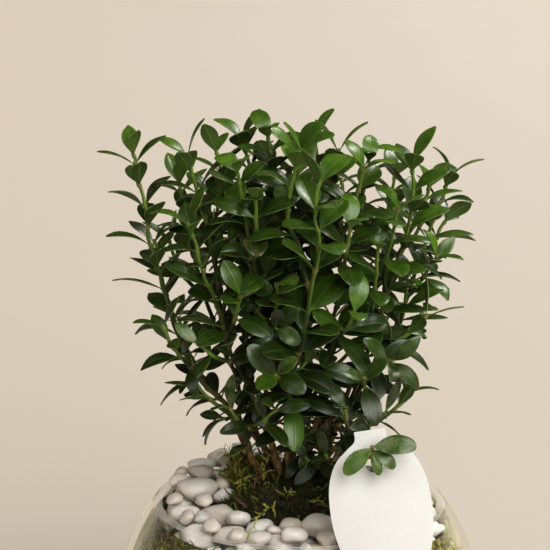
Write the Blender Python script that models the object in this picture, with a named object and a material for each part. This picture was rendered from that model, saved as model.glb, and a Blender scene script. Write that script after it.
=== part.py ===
"""A boxwood plant in a clear glass bubble bowl, with pebbles, moss and a hanging card tag.

Metres, +Z up. The origin is the centre of the bowl's flat underside, +X is the right of the
front view and -Y is the front. The sizes below are in millimetres, and MM makes metres of
them when a mesh is made.
"""

import math
import random

import bmesh
import bpy
from mathutils import Matrix, Vector
from mathutils.bvhtree import BVHTree

MM = 0.001
GAP = 0.3  # left between pieces that touch

# Glass bowl: a sphere with a flat foot and a wide ground mouth
BOWL_RADIUS = 111.5
BOWL_CENTRE_Z = 95.0
BOWL_WALL = 4.5
BOWL_FLOOR = 6.0
RIM_Z = 163.0
RIM_ROUND = 1.3
BOWL_STEPS = 28
WALL_LATITUDES = (-43, -26, -9, 6, 18)  # degrees above the sphere's middle
LINING_TOP_LATITUDE = 28

# Filling
LINING_THICKNESS = 6.5
SOIL_TOP_Z = 160.0
SOIL_TOP_RADIUS = 43.0
PEBBLE_BED_RADIUS = 53.0
PEBBLE_BED_Z = 147.0
MOSS_RADIUS = 47.5
MOSS_RISE = 20.0
MOSS_TUFT = Vector((-34.0, 14.0))
MOSS_TUFT_RISE = 6.0
MOSS_TUFT_RADIUS = 15.0
MOSS_STEPS = 18
MOSS_RINGS = (43.0, 34.0, 23.0, 11.0)

# Pebbles: rings of (distance from the axis, how many, lift above the bed)
PEBBLE_ROWS = ((73.5, 20, 0.0), (60.5, 18, 2.0))
PEBBLE_HEAP = ((118, 68.0), (136, 71.0), (154, 67.0), (172, 71.0))  # bearing, distance
PEBBLE_HEAP_LIFT = 11.0
PEBBLE_HALF = (14.4, 11.0, 9.4)
PEBBLE_SPREAD = 0.08

# Stump that holds all the stems, in a plain hole in the soil
STUMP_CENTRE = Vector((-3.0, 0.0))
STUMP_RADII = (9.0, 12.0, 9.5)
STUMP_LEVELS = (132.0, 148.0, 167.0)
STUMP_SIDES = 8
WOOD_SIDES = 6
WOOD_STEP = 18.0
SHOOT_RADII = (1.25, 0.8)

# Woody stems: name, the stem it grows from, radius at each end, and points from the foot out
WOOD = (
    ("left_outer", None, 2.5, 1.6, [(-8, 0, 154), (-17, -1, 173), (-30, -4, 192), (-38, -8, 212)]),
    ("left_inner", None, 3.0, 1.8, [(-6, -2, 154), (-11, -4, 178), (-17, -9, 202), (-23, -14, 219)]),
    ("front_centre", None, 2.4, 1.6, [(-3, -4, 154), (-5, -9, 180), (-8, -15, 204)]),
    ("centre_left", "left_inner", 2.0, 1.6, [(-17, -9, 202), (-19, -5, 222)]),
    ("top_centre", None, 2.6, 1.7, [(-3, 2, 154), (-6, 5, 180), (-8, 9, 210)]),
    ("right_centre", None, 2.8, 1.7, [(0, -3, 154), (4, -5, 184), (9, -8, 210)]),
    ("right_low", "right_centre", 1.9, 1.6, [(8, -7, 202), (16, -12, 215)]),
    ("right_top", None, 2.7, 1.7, [(2, 1, 154), (9, 4, 178), (19, 7, 200), (26, 8, 214)]),
    ("right_outer", "right_top", 2.1, 1.6, [(18, 7, 198), (28, 17, 212)]),
    ("low_right", "right_centre", 1.8, 1.5, [(3, -5, 178), (11, -13, 188), (18, -18, 197)]),
    ("low_left", "left_outer", 1.8, 1.5, [(-28, -4, 190), (-30, -14, 200)]),
    ("back_left", None, 2.5, 1.7, [(-6, 4, 154), (-13, 10, 176), (-25, 22, 196), (-30, 27, 206)]),
    ("side_left", "back_left", 1.8, 1.5, [(-22, 19, 191), (-34, 22, 204)]),
    ("back_middle", None, 2.4, 1.7, [(-2, 5, 154), (-3, 14, 178), (-5, 30, 200), (-6, 36, 210)]),
    ("low_back", "back_middle", 1.8, 1.5, [(-4, 26, 194), (4, 35, 205)]),
    ("back_right", None, 2.4, 1.7, [(2, 4, 154), (10, 12, 178), (21, 27, 198), (26, 34, 208)]),
    ("tag_twig", "low_right", 1.6, 1.4, [(11, -13, 188), (17, -25, 195), (22, -37, 201)]),
)

# Green shoots: spray, bearing of the first pair of leaves (0 right, 90 back), leaf length and
# points. The first shoot of a spray goes on from its woody stem, the others grow from it.
SHOOTS = (
    ("left_outer", 20, 25, [(-48, -10, 230), (-62, -12, 246), (-69, -12, 261), (-75, -12, 279),
                            (-82, -10, 301), (-88, -8, 322), (-91, -6, 343), (-96, -4, 364),
                            (-99, -2, 380)]),
    ("left_outer", 60, 23, [(-69, -12, 261), (-78, 4, 282), (-84, 14, 302), (-88, 20, 322)]),
    ("left_outer", 110, 22, [(-63, -12, 248), (-69, -24, 258), (-76, -34, 270), (-81, -38, 284)]),
    ("left_inner", 10, 25, [(-30, -18, 239), (-37, -20, 254), (-43, -24, 269), (-48, -28, 289),
                            (-55, -30, 310), (-60, -32, 326), (-66, -33, 345)]),
    ("left_inner", 80, 25, [(-46, -26, 282), (-48, -16, 304), (-52, -12, 323), (-58, -8, 348),
                            (-63, -6, 364), (-67, -4, 380)]),
    ("left_inner", 40, 23, [(-44, -25, 271), (-38, -38, 288), (-35, -48, 306)]),
    ("left_inner", 0, 22, [(-38, -21, 256), (-50, -34, 263), (-60, -42, 274)]),
    ("centre_left", 30, 24, [(-21, -8, 240), (-21, -12, 255), (-22, -14, 268), (-25, -20, 300),
                             (-28, -24, 326), (-32, -26, 346), (-37, -26, 374)]),
    ("centre_left", 75, 23, [(-25, -20, 300), (-36, -6, 322), (-44, 6, 350), (-50, 14, 378)]),
    ("centre_left", 0, 23, [(-27, -23, 318), (-26, -36, 338), (-26, -42, 362)]),
    ("centre_left", 50, 23, [(-22, -14, 268), (-15, -30, 286), (-14, -40, 310)]),
    ("top_centre", 15, 24, [(-9, 12, 232), (-9, 12, 250), (-10, 14, 273), (-12, 16, 316),
                            (-14, 14, 348), (-17, 10, 375), (-19, 8, 388)]),
    ("top_centre", 70, 23, [(-12, 16, 316), (-22, 24, 342), (-30, 30, 364), (-35, 33, 383)]),
    ("top_centre", 0, 23, [(-12, 16, 326), (-4, 4, 346), (-1, -8, 366), (-2, -12, 384)]),
    ("top_centre", 40, 23, [(-10, 14, 273), (6, 18, 300), (12, 18, 330), (12, 18, 358), (9, 18, 384)]),
    ("front_centre", 35, 26, [(-6, -24, 230), (-6, -30, 246), (-2, -38, 262), (3, -46, 286),
                              (7, -50, 311), (11, -52, 336), (9, -54, 354), (11, -54, 374)]),
    ("front_centre", 5, 22, [(6, -49, 305), (0, -46, 328), (-7, -44, 352), (-4, -42, 374),
                             (1, -40, 390)]),
    ("front_centre", 45, 23, [(-6, -30, 244), (-12, -42, 252), (-14, -54, 258)]),
    ("right_centre", 0, 25, [(14, -10, 228), (17, -12, 243), (20, -18, 270), (23, -18, 300),
                             (24, -13, 335), (24, -7, 358), (23, 0, 382)]),
    ("right_centre", 60, 24, [(24, -14, 330), (31, -21, 350), (38, -23, 376)]),
    ("right_centre", 90, 25, [(20, -18, 268), (27, -34, 280), (32, -46, 294)]),
    ("right_centre", 20, 24, [(23, -18, 300), (26, -32, 320), (29, -40, 344)]),
    ("right_top", 10, 26, [(34, 9, 230), (42, 7, 256), (52, 2, 289), (60, 0, 317), (66, -4, 342),
                           (67, -6, 358), (66, -6, 376)]),
    ("right_top", 70, 24, [(52, 2, 289), (50, -12, 310), (54, -20, 330), (58, -24, 352)]),
    ("right_top", 30, 24, [(60, 0, 317), (70, 10, 334), (78, 16, 356)]),
    ("right_top", 0, 24, [(44, 6, 262), (43, -13, 284), (45, -27, 308), (46, -33, 330)]),
    ("right_outer", 0, 25, [(41, 28, 230), (55, 38, 250), (66, 44, 278), (75, 48, 302),
                            (82, 50, 324), (87, 50, 340), (93, 50, 356)]),
    ("right_outer", 45, 23, [(66, 44, 278), (76, 34, 294), (84, 26, 310)]),
    ("right_outer", 90, 23, [(75, 48, 302), (85, 60, 312), (92, 68, 323)]),
    ("right_outer", 20, 23, [(57, 39, 253), (63, 18, 274), (65, 8, 298)]),
    ("right_low", 0, 25, [(26, -13, 224), (34, -12, 232), (46, -14, 256), (58, -14, 266),
                          (67, -12, 273), (77, -10, 283)]),
    ("right_low", 60, 24, [(44, -14, 252), (50, -28, 258), (55, -40, 262)]),
    ("right_low", 20, 23, [(38, -13, 240), (38, -32, 246), (38, -46, 254)]),
    ("right_low", 90, 22, [(51, -14, 260), (66, 4, 270), (76, 12, 280)]),
    ("low_right", 30, 23, [(24, -22, 206), (32, -27, 214), (42, -34, 221), (52, -38, 231)]),
    ("low_right", 80, 23, [(30, -26, 212), (28, -38, 224), (26, -46, 236)]),
    ("low_right", 0, 21, [(42, -34, 221), (56, -28, 228), (64, -22, 238)]),
    ("low_left", 60, 22, [(-32, -22, 210), (-36, -28, 222), (-42, -34, 232)]),
    ("low_left", 15, 22, [(-34, -25, 216), (-22, -38, 224), (-14, -46, 234)]),
    ("low_left", 0, 22, [(-36, -28, 222), (-52, -22, 232), (-62, -22, 243)]),
    ("back_left", 20, 24, [(-35, 32, 216), (-42, 40, 236), (-54, 50, 266), (-64, 58, 296),
                           (-70, 62, 322), (-74, 64, 348)]),
    ("back_left", 70, 23, [(-58, 53, 276), (-72, 46, 294), (-80, 38, 318)]),
    ("back_left", 0, 23, [(-60, 55, 286), (-54, 74, 306), (-50, 82, 330)]),
    ("back_left", 45, 23, [(-50, 47, 256), (-44, 34, 290), (-50, 30, 320), (-56, 30, 350)]),
    ("back_middle", 10, 24, [(-7, 43, 222), (-8, 52, 244), (-8, 62, 274), (-6, 70, 304),
                             (-4, 72, 332), (-2, 72, 356)]),
    ("back_middle", 60, 23, [(-8, 62, 274), (-24, 74, 294), (-30, 82, 318)]),
    ("back_middle", 90, 23, [(-6, 70, 304), (14, 74, 320), (24, 76, 344)]),
    ("back_middle", 30, 23, [(-8, 55, 252), (-2, 40, 280), (-2, 36, 312), (-14, 38, 342),
                             (-20, 40, 364)]),
    ("back_right", 25, 24, [(31, 41, 220), (38, 48, 240), (46, 60, 270), (52, 70, 300),
                            (56, 76, 326), (60, 76, 350)]),
    ("back_right", 75, 23, [(46, 60, 270), (38, 74, 290), (36, 85, 310)]),
    ("back_right", 0, 23, [(42, 52, 252), (34, 36, 280), (36, 32, 312), (38, 28, 346), (42, 26, 370)]),
    ("back_right", 50, 23, [(51, 68, 294), (70, 74, 308), (80, 76, 326)]),
    ("side_left", 80, 22, [(-46, 20, 218), (-58, 20, 234), (-68, 22, 252), (-74, 26, 272)]),
    ("low_back", 0, 22, [(10, 44, 216), (15, 53, 228), (20, 66, 244), (22, 76, 258)]),
    ("low_back", 45, 21, [(15, 53, 228), (28, 61, 235), (40, 70, 247)]),
    ("low_back", 90, 21, [(13, 49, 222), (2, 62, 230), (-12, 74, 244)]),
)

# Leaves that stand out by themselves: spray, foot, tip, the way the upper face looks, and width
SINGLE_LEAVES = (
    ("tag_twig", (41, -89, 225), (65, -97, 232), (0, -0.7, 0.7), 12),
    ("tag_twig", (41, -89, 225), (24, -98, 213), (-0.3, -0.9, 0.4), 11),
    ("tag_twig", (41, -87, 222), (46, -97, 212), (0.2, -0.9, 0.1), 6),
    ("tag_twig", (41, -87, 223), (55, -96, 218), (0.3, -0.8, 0.5), 8),
    ("front_centre", (-6, -26, 236), (1, -56, 217), (0.4, -0.9, 0.3), 13),
    ("right_centre", (20, -19, 274), (46, -44, 262), (0.3, -0.6, 0.7), 12),
)

# Leaves
LEAF_SPACING = (16.5, 11.0)  # at the foot of a shoot and at its tip
LEAF_WIDTH_SHARE = 0.58
LEAF_HALF_THICKNESS = 0.45
LEAF_WIDEST = 0.55  # shares of the length
LEAF_END = 0.96
PETIOLE_HALF_WIDTH = 0.9
FIRST_PAIR = 6.0  # from the foot of a shoot
LAST_PAIR = 1.6  # from its tip
LEAF_OPENING = (66, 44)  # degrees off the shoot, at its foot and near its tip
LAST_OPENING = 31
PAIR_OPENING_SPREAD = 7
LEAF_SIZE = (0.92, 1.14)  # of the shoot's leaf length, at its ends and in its middle
LEAF_HABIT = ((5, 42), (4, 20), (0.9, 1.12), (-14, 14), (-6, 6), (0.9, 1.1))
# ranges of bend, fold, width, turn round the shoot, opening and size; the angles in degrees
LEAF_LIFT = 0.12  # how much every leaf turns up to the light
LEAF_TURNS = (0, 14, -14, 28, -28, 42, -42)  # degrees tried round the stem until a leaf is clear
SMALLER_LEAF = 0.8  # tried after them
FACE_OUTWARD = 0.25  # how much the upper faces turn to the outside of the bush
FACE_TO_LIGHT = Vector((0.0, -0.06, 0.35))
FOOT_DEPTH = 0.7  # of the shoot's radius, where a leaf's foot lies
LEAF_CLEARANCE = 0.4
SHOOT_CLEARANCE = 1.0  # the solid shoots cut the corners of their paths
LOWER_SHARE = 0.5  # of a shoot's pairs, deep in the bush: the solids have one in three of them
NODE_HALF_HEIGHT = 1.0
CORNER_SHARE = 1.3  # of the shoot's radius: the young stems of this plant are square

# Card tag, hung by its hole on the end of the low twig
TAG_THICKNESS = 0.8
TAG_HOLE_CENTRE = Vector((43.0, -79.0, 212.0))
TAG_HOLE_RADIUS = 5.5
TAG_HOLE_DROP = 19.5  # from the top edge
TAG_TILT = 8.5  # degrees, in its own plane
TAG_PROFILE = ((0.0, 9.2), (5.6, 9.8), (9.5, 14.6), (15.5, 21.6), (23.0, 26.0), (33.0, 28.8),
               (47.0, 29.6), (60.0, 28.4), (76.0, 24.6), (92.0, 19.6), (106.0, 16.2), (112.0, 16.0))
TWIG_END_RADIUS = 1.1
TWIG_BELOW_EDGE = 2.3  # its middle passes this far under the top of the hole, on a slant
TWIG_BEYOND_TAG = ((41.5, -84.5, 219.5), (41.0, -89.5, 225.5))


def material(name, colour, roughness, metallic=0.0, transmission=0.0):
    """A plain Principled material."""
    made = bpy.data.materials.new(name)
    made.use_nodes = True
    shader = made.node_tree.nodes["Principled BSDF"]
    shader.inputs["Base Color"].default_value = (*colour, 1.0)
    shader.inputs["Roughness"].default_value = roughness
    shader.inputs["Metallic"].default_value = metallic
    shader.inputs["Transmission Weight"].default_value = transmission
    return made


def add_object(name, bm, finish, smooth_angle=40.0):
    """A new object in metres from a bmesh in millimetres."""
    bmesh.ops.scale(bm, vec=(MM, MM, MM), verts=bm.verts)
    mesh = bpy.data.meshes.new(name)
    bm.to_mesh(mesh)
    bm.free()
    mesh.shade_smooth()
    mesh.set_sharp_from_angle(angle=math.radians(smooth_angle))
    mesh.materials.append(finish)
    made = bpy.data.objects.new(name, mesh)
    bpy.context.scene.collection.objects.link(made)
    return made


def apply_modifiers(target):
    """Replaces an object's mesh by what its modifiers make of it."""
    graph = bpy.context.evaluated_depsgraph_get()
    mesh = bpy.data.meshes.new_from_object(target.evaluated_get(graph))
    target.modifiers.clear()
    target.data = mesh


def combine(target, others, operation):
    """Joins the other objects to the target, or cuts them from it, and removes them."""
    helpers = bpy.data.collections.new("helpers")
    bpy.context.scene.collection.children.link(helpers)
    for other in others:
        bpy.context.scene.collection.objects.unlink(other)
        helpers.objects.link(other)
    boolean = target.modifiers.new(operation.lower(), "BOOLEAN")
    boolean.operation = operation
    boolean.operand_type = "COLLECTION"
    boolean.collection = helpers
    apply_modifiers(target)
    for other in others:
        bpy.data.objects.remove(other)
    bpy.data.collections.remove(helpers)


def keep_largest(target):
    """Drops the loose scraps that a cut leaves beside an object's main body."""
    bm = bmesh.new()
    bm.from_mesh(target.data)
    left = set(bm.verts)
    islands = []
    while left:
        front = [left.pop()]
        island = set(front)
        while front:
            vert = front.pop()
            near = {edge.other_vert(vert) for edge in vert.link_edges} & left
            left -= near
            island |= near
            front.extend(near)
        islands.append(island)
    islands.sort(key=len)
    bmesh.ops.delete(bm, geom=[vert for island in islands[:-1] for vert in island])
    bm.to_mesh(target.data)
    bm.free()


def between(ends, share):
    """The value at a share of the way from the first of two to the second."""
    return ends[0] + (ends[1] - ends[0]) * share


def smooth_path(points, step):
    """Points about a step apart along a Catmull-Rom curve through the given ones."""
    ends = [points[0] * 2 - points[1], *points, points[-1] * 2 - points[-2]]
    fine = [points[0]]
    for a, b, c, d in zip(ends, ends[1:], ends[2:], ends[3:]):
        parts = max(2, math.ceil((c - b).length / step))
        for i in range(1, parts + 1):
            t = i / parts
            fine.append(0.5 * (2 * b + (c - a) * t + (2 * a - 5 * b + 4 * c - d) * t * t
                               + (3 * b - a - 3 * c + d) * t * t * t))
    return fine


class Path:
    """A smooth line that gives its point and direction at any distance from its foot."""

    def __init__(self, points):
        self.points = smooth_path([Vector(p) for p in points], 1.0)
        self.marks = [0.0]
        for a, b in zip(self.points, self.points[1:]):
            self.marks.append(self.marks[-1] + (b - a).length)
        self.length = self.marks[-1]

    def at(self, distance):
        i = 1
        while i < len(self.marks) - 1 and self.marks[i] < distance:
            i += 1
        a, b = self.points[i - 1], self.points[i]
        span = self.marks[i] - self.marks[i - 1]
        return a.lerp(b, (distance - self.marks[i - 1]) / span), (b - a).normalized()

    def nearest(self, point):
        """The distance from the foot at which the line passes closest to a point."""
        gaps = [(p - point).length for p in self.points]
        return self.marks[gaps.index(min(gaps))]


def loft(bm, rings):
    """Closed skin over rings of points, with flat caps, all facing out."""
    rows = [[bm.verts.new(p) for p in ring] for ring in rings]
    for low, high in zip(rows, rows[1:]):
        for i in range(len(low)):
            j = (i + 1) % len(low)
            corners = [low[i], low[j], high[j], high[i]]
            bm.faces.new(list(dict.fromkeys(corners)))
    bm.faces.new(list(reversed(rows[0])))
    bm.faces.new(rows[-1])


def across(direction):
    """Two unit vectors square to a direction, the first as near to +X as it can be."""
    first = (Vector((1, 0, 0)) - direction * direction.x).normalized()
    return first, direction.cross(first)


def ring(path, distance, radius, sides, bearing=0.0):
    """Points round a path, the first of them at a bearing."""
    centre, direction = path.at(distance)
    right, back = across(direction)
    turns = [math.radians(bearing) + math.tau * k / sides for k in range(sides)]
    return [centre + right * radius * math.cos(a) + back * radius * math.sin(a) for a in turns]


def tube(path, start, end, radii, sides, step, grow=0.0):
    """A tapering tube along part of a path, as a bmesh."""
    bm = bmesh.new()
    parts = max(2, round((end - start) / step))
    shares = [i / parts for i in range(parts + 1)]
    loft(bm, [ring(path, between((start, end), share), between(radii, share) + grow, sides)
              for share in shares])
    return bm


def leaf_outline(share):
    """Half width at a share of the leaf's length, where 1 is the widest."""
    late = share ** 1.3
    return math.sqrt(max(0.0, 4 * late * (1 - late))) * min(1.0, share / 0.35) ** 0.6


def bulging_quad(bm, a, b, c, d, centre):
    """Two triangles between four corners, split along the diagonal that bulges from a centre."""
    normal = (c.co - a.co).cross(d.co - b.co)
    if normal.dot(a.co + b.co + c.co + d.co - 4 * centre) < 0:
        normal.negate()
    if (a.co + c.co).dot(normal) > (b.co + d.co).dot(normal):
        bm.faces.new([a, b, c])
        bm.faces.new([a, c, d])
    else:
        bm.faces.new([a, b, d])
        bm.faces.new([b, c, d])


class Leaf:
    """One leaf: where it grows, which way it points and faces, its size and how it is bent."""

    def __init__(self, base, along, face, length, width, bend, fold):
        self.base = base
        self.along = along
        self.side = along.cross(face).normalized()
        self.face = self.side.cross(along)
        self.length = length
        self.width = width
        self.bend = bend
        self.fold = fold

    def point(self, share, across_share, lift=0.0, grow=0.0):
        """A point of the blade, lifted off its middle surface by a distance."""
        turn = self.bend * share
        reach = self.length * (math.sin(turn) / turn if abs(turn) > 1e-6 else 1.0) * share
        drop = self.length * ((1 - math.cos(turn)) / turn if abs(turn) > 1e-6 else 0.0) * share
        middle = self.base + self.along * reach - self.face * drop
        up = self.face * math.cos(turn) + self.along * math.sin(turn)
        half = max(PETIOLE_HALF_WIDTH, self.width / 2 * leaf_outline(share)) + grow
        if share >= 1.0:
            half = 0.0
        out = self.side * (half * across_share * math.cos(self.fold))
        return middle + out + up * (half * abs(across_share) * math.sin(self.fold) + lift)

    def skin(self, bm, root, grow=0.0):
        """The blade's faces, grown from four corners at its foot: a keeled lens with a blunt end."""
        half = LEAF_HALF_THICKNESS + grow
        middle = [bm.verts.new(self.point(LEAF_WIDEST, *place, grow)) for place in
                  ((-1, 0), (0, -half), (1, 0), (0, half))]
        left = bm.verts.new(self.point(LEAF_END, -1, 0, grow))
        right = bm.verts.new(self.point(LEAF_END, 1, 0, grow))
        for keel in (middle[1], middle[3]):
            bm.faces.new([middle[0], keel, left])
            bm.faces.new([left, keel, right])
            bm.faces.new([right, keel, middle[2]])
        turning = (root[1].co - root[0].co).cross(root[2].co - root[1].co).dot(self.along)
        way = -1 if turning > 0 else 1
        turns = [[middle[(way * i + shift) % 4] for i in range(4)] for shift in range(4)]
        ends = min(turns, key=lambda row: sum((a.co - b.co).length for a, b in zip(root, row)))
        centre = sum((vert.co for vert in (*root, *ends)), Vector()) / 8
        for i in range(4):
            bulging_quad(bm, root[i], root[(i + 1) % 4], ends[(i + 1) % 4], ends[i], centre)

    def solid(self, grow=0.0):
        """The leaf as a closed bmesh of its own, square at its foot."""
        bm = bmesh.new()
        half = PETIOLE_HALF_WIDTH + grow
        root = [bm.verts.new(self.point(0.0, *place, grow)) for place in
                ((-1, 0), (0, -half), (1, 0), (0, half))]
        bm.faces.new(root)
        self.skin(bm, root, grow)
        bmesh.ops.recalc_face_normals(bm, faces=bm.faces)
        return bm


class Solid:
    """A shape kept only to test what runs into it."""

    def __init__(self, bm, owner):
        bmesh.ops.triangulate(bm, faces=bm.faces)
        points = [v.co.copy() for v in bm.verts]
        self.tree = BVHTree.FromBMesh(bm)
        self.low = [min(p[k] for p in points) for k in range(3)]
        self.high = [max(p[k] for p in points) for k in range(3)]
        self.owner = owner
        bm.free()

    def meets(self, other):
        for k in range(3):
            if self.low[k] > other.high[k] or other.low[k] > self.high[k]:
                return False
        return bool(self.tree.overlap(other.tree))


def turned(profile, steps):
    """A solid of revolution from (radius, height) pairs that start and end on the axis."""
    bm = bmesh.new()
    verts = [bm.verts.new((r, 0, z)) for r, z in profile]
    edges = [bm.edges.new(pair) for pair in zip(verts, verts[1:])]
    bmesh.ops.spin(bm, geom=verts + edges, cent=(0, 0, 0), axis=(0, 0, 1), angle=math.tau,
                   steps=steps, use_merge=True, use_duplicate=False)
    bmesh.ops.remove_doubles(bm, verts=bm.verts, dist=1e-4)
    bmesh.ops.recalc_face_normals(bm, faces=bm.faces)
    return bm


def arc(radius, latitudes):
    """(radius, height) pairs on a sphere about the bowl's centre."""
    return [(radius * math.cos(math.radians(a)), BOWL_CENTRE_Z + radius * math.sin(math.radians(a)))
            for a in latitudes]


def latitude_of(radius, height):
    """Degrees above the middle at which a sphere about the bowl's centre has this height."""
    return math.degrees(math.asin((height - BOWL_CENTRE_Z) / radius))


def glass_bowl(finish):
    outer = arc(BOWL_RADIUS, (latitude_of(BOWL_RADIUS, 0), *WALL_LATITUDES, 29,
                              latitude_of(BOWL_RADIUS, RIM_Z - RIM_ROUND)))
    inside = BOWL_RADIUS - BOWL_WALL
    inner = arc(inside, (latitude_of(inside, BOWL_FLOOR), *WALL_LATITUDES, LINING_TOP_LATITUDE,
                         latitude_of(inside, RIM_Z - RIM_ROUND)))
    rim = [(outer[-1][0] - RIM_ROUND * 0.9, RIM_Z), (inner[-1][0] + RIM_ROUND, RIM_Z)]
    profile = [(0, 0), *outer, *rim, *reversed(inner), (0, BOWL_FLOOR)]
    return add_object("glass_bowl", turned(profile, BOWL_STEPS), finish)


def moss_lining(finish):
    outside = BOWL_RADIUS - BOWL_WALL - GAP
    inside = outside - LINING_THICKNESS
    low = BOWL_FLOOR + GAP
    outer = arc(outside, (latitude_of(outside, low), *WALL_LATITUDES, LINING_TOP_LATITUDE))
    inner = arc(inside, (latitude_of(inside, low + LINING_THICKNESS), *WALL_LATITUDES,
                         LINING_TOP_LATITUDE))
    profile = [(0, low), *outer, *reversed(inner), (0, low + LINING_THICKNESS)]
    return add_object("moss_lining", turned(profile, BOWL_STEPS), finish)


def root_ball(finish):
    """The soil, with a plain round hole for the stump."""
    outside = BOWL_RADIUS - BOWL_WALL - LINING_THICKNESS - 2 * GAP
    low = BOWL_FLOOR + LINING_THICKNESS + 2 * GAP
    outer = arc(outside, (latitude_of(outside, low), *WALL_LATITUDES, LINING_TOP_LATITUDE))
    top = [(PEBBLE_BED_RADIUS, PEBBLE_BED_Z), (SOIL_TOP_RADIUS + 2, SOIL_TOP_Z - 2),
           (SOIL_TOP_RADIUS, SOIL_TOP_Z)]
    soil = add_object("root_ball", turned([(0, low), *outer, *top, (0, SOIL_TOP_Z)], BOWL_STEPS), finish)
    hole = bmesh.new()
    depth = SOIL_TOP_Z + 5 - STUMP_LEVELS[0] + GAP
    radius = max(STUMP_RADII) + 2 * GAP
    place = Matrix.Translation((*STUMP_CENTRE, STUMP_LEVELS[0] - GAP + depth / 2))
    bmesh.ops.create_cone(hole, cap_ends=True, segments=16, radius1=radius, radius2=radius,
                          depth=depth, matrix=place)
    combine(soil, [add_object("hole", hole, finish)], "DIFFERENCE")
    return soil


def bed_height(distance):
    """Height of the soil under the pebbles at a distance from the axis."""
    outside = BOWL_RADIUS - BOWL_WALL - LINING_THICKNESS - 2 * GAP
    edge_radius, edge_z = arc(outside, (LINING_TOP_LATITUDE,))[0]
    share = (distance - PEBBLE_BED_RADIUS) / (edge_radius - PEBBLE_BED_RADIUS)
    return PEBBLE_BED_Z + (edge_z - PEBBLE_BED_Z) * max(0.0, share)


def moss_height(x, y):
    """Height of the moss bed: a low dome with a tuft and small waves."""
    r = math.hypot(x, y)
    dome = MOSS_RISE * (1 - (r / 54.0) ** 2.4)
    tuft = MOSS_TUFT_RISE * math.exp(-((Vector((x, y)) - MOSS_TUFT).length / MOSS_TUFT_RADIUS) ** 2)
    waves = 1.1 * math.sin(0.31 * x + 1.0) * math.cos(0.27 * y) + 0.7 * math.sin(0.55 * x + 0.43 * y)
    return SOIL_TOP_Z + GAP + dome + tuft + waves


def moss_bed(finish):
    """The cushion of moss, with a plain hole round each stem."""
    low = SOIL_TOP_Z + GAP
    profile = [(0, low), (MOSS_RADIUS - 3.0, low), (MOSS_RADIUS, low + 2.5)]
    profile += [(r, RIM_Z + 9) for r in MOSS_RINGS] + [(0, RIM_Z + 9)]
    bm = turned(profile, MOSS_STEPS)
    for vert in bm.verts:
        if vert.co.z > RIM_Z:
            vert.co.z = moss_height(vert.co.x, vert.co.y)
    moss = add_object("moss_bed", bm, finish)
    cutters = [add_object("hole", piece, finish) for piece in wood_pieces(GAP)]
    combine(moss, cutters, "DIFFERENCE")
    keep_largest(moss)
    return moss


def pebble(rng, place, turn):
    """A rounded stone of about the usual size, standing at a place."""
    bm = bmesh.new()
    bmesh.ops.create_icosphere(bm, subdivisions=1, radius=1.0)
    size = [half * rng.uniform(1 - PEBBLE_SPREAD, 1 + PEBBLE_SPREAD) for half in PEBBLE_HALF]
    spin = Matrix.Rotation(turn + rng.uniform(-0.2, 0.2), 4, "Z")
    tip = Matrix.Rotation(rng.uniform(-0.15, 0.15), 4, "X")
    bmesh.ops.transform(bm, matrix=Matrix.Translation(place) @ spin @ tip @ Matrix.Diagonal((*size, 1)),
                        verts=bm.verts)
    return bm


def pebbles(finish):
    """The ring of stones, each sunk a little into its neighbours."""
    rng = random.Random(7)
    stones = []
    for distance, count, lift in PEBBLE_ROWS:
        for i in range(count):
            bearing = math.tau * (i + 0.5 * (lift > 0)) / count
            height = bed_height(distance - PEBBLE_HALF[1] / 2) + PEBBLE_HALF[2] + lift + rng.uniform(0.9, 1.9)
            place = Vector((distance * math.cos(bearing), distance * math.sin(bearing), height))
            stones.append(pebble(rng, place, bearing + math.pi / 2))
    for degrees, distance in PEBBLE_HEAP:
        bearing = math.radians(degrees)
        height = bed_height(distance) + PEBBLE_HALF[2] + PEBBLE_HEAP_LIFT
        place = Vector((distance * math.cos(bearing), distance * math.sin(bearing), height))
        stones.append(pebble(rng, place, bearing + math.pi / 3))
    first, *others = [add_object("pebbles" if i == 0 else "stone", bm, finish)
                      for i, bm in enumerate(stones)]
    combine(first, others, "UNION")
    keep_largest(first)
    return first


def stump(grow):
    bm = bmesh.new()
    rings = []
    for level, radius in zip(STUMP_LEVELS, STUMP_RADII):
        turns = [math.tau * k / STUMP_SIDES for k in range(STUMP_SIDES)]
        rings.append([(STUMP_CENTRE.x + (radius + grow) * math.cos(a),
                       STUMP_CENTRE.y + (radius + grow) * math.sin(a),
                       level + (grow if level == STUMP_LEVELS[-1] else 0.0)) for a in turns])
    loft(bm, rings)
    return bm


def wood_paths():
    """Each stem's path: one smooth line with the green shoot that goes on from it."""
    first_shoots = {}
    for spray, _, _, points in SHOOTS:
        first_shoots.setdefault(spray, points)
    first_shoots["tag_twig"] = twig_points()
    paths = {}
    for name, parent, *_, points in WOOD:
        points = [Vector(p) for p in points]
        if parent:
            points[0] = paths[parent][0].at(paths[parent][0].nearest(points[0]))[0]
        whole = Path([*points, *first_shoots[name]])
        paths[name] = (whole, whole.nearest(points[-1]))
    return paths


def wood_pieces(grow=0.0):
    """The stump and every stem as bmeshes."""
    pieces = [stump(grow)]
    paths = wood_paths()
    for name, _, foot, end, _ in WOOD:
        path, joint = paths[name]
        pieces.append(tube(path, 0.0, joint, (foot, end), WOOD_SIDES, WOOD_STEP, grow))
    return pieces


def woody_stems(finish):
    first, *others = [add_object("woody_stems" if i == 0 else "stem", bm, finish)
                      for i, bm in enumerate(wood_pieces())]
    combine(first, others, "UNION")
    return first


def tag_axes(lean):
    """The tag's turn out of the upright front plane: a tilt in its plane and a lean back."""
    return Matrix.Rotation(-math.radians(lean), 4, "X") @ Matrix.Rotation(-math.radians(TAG_TILT), 4, "Y")


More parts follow.
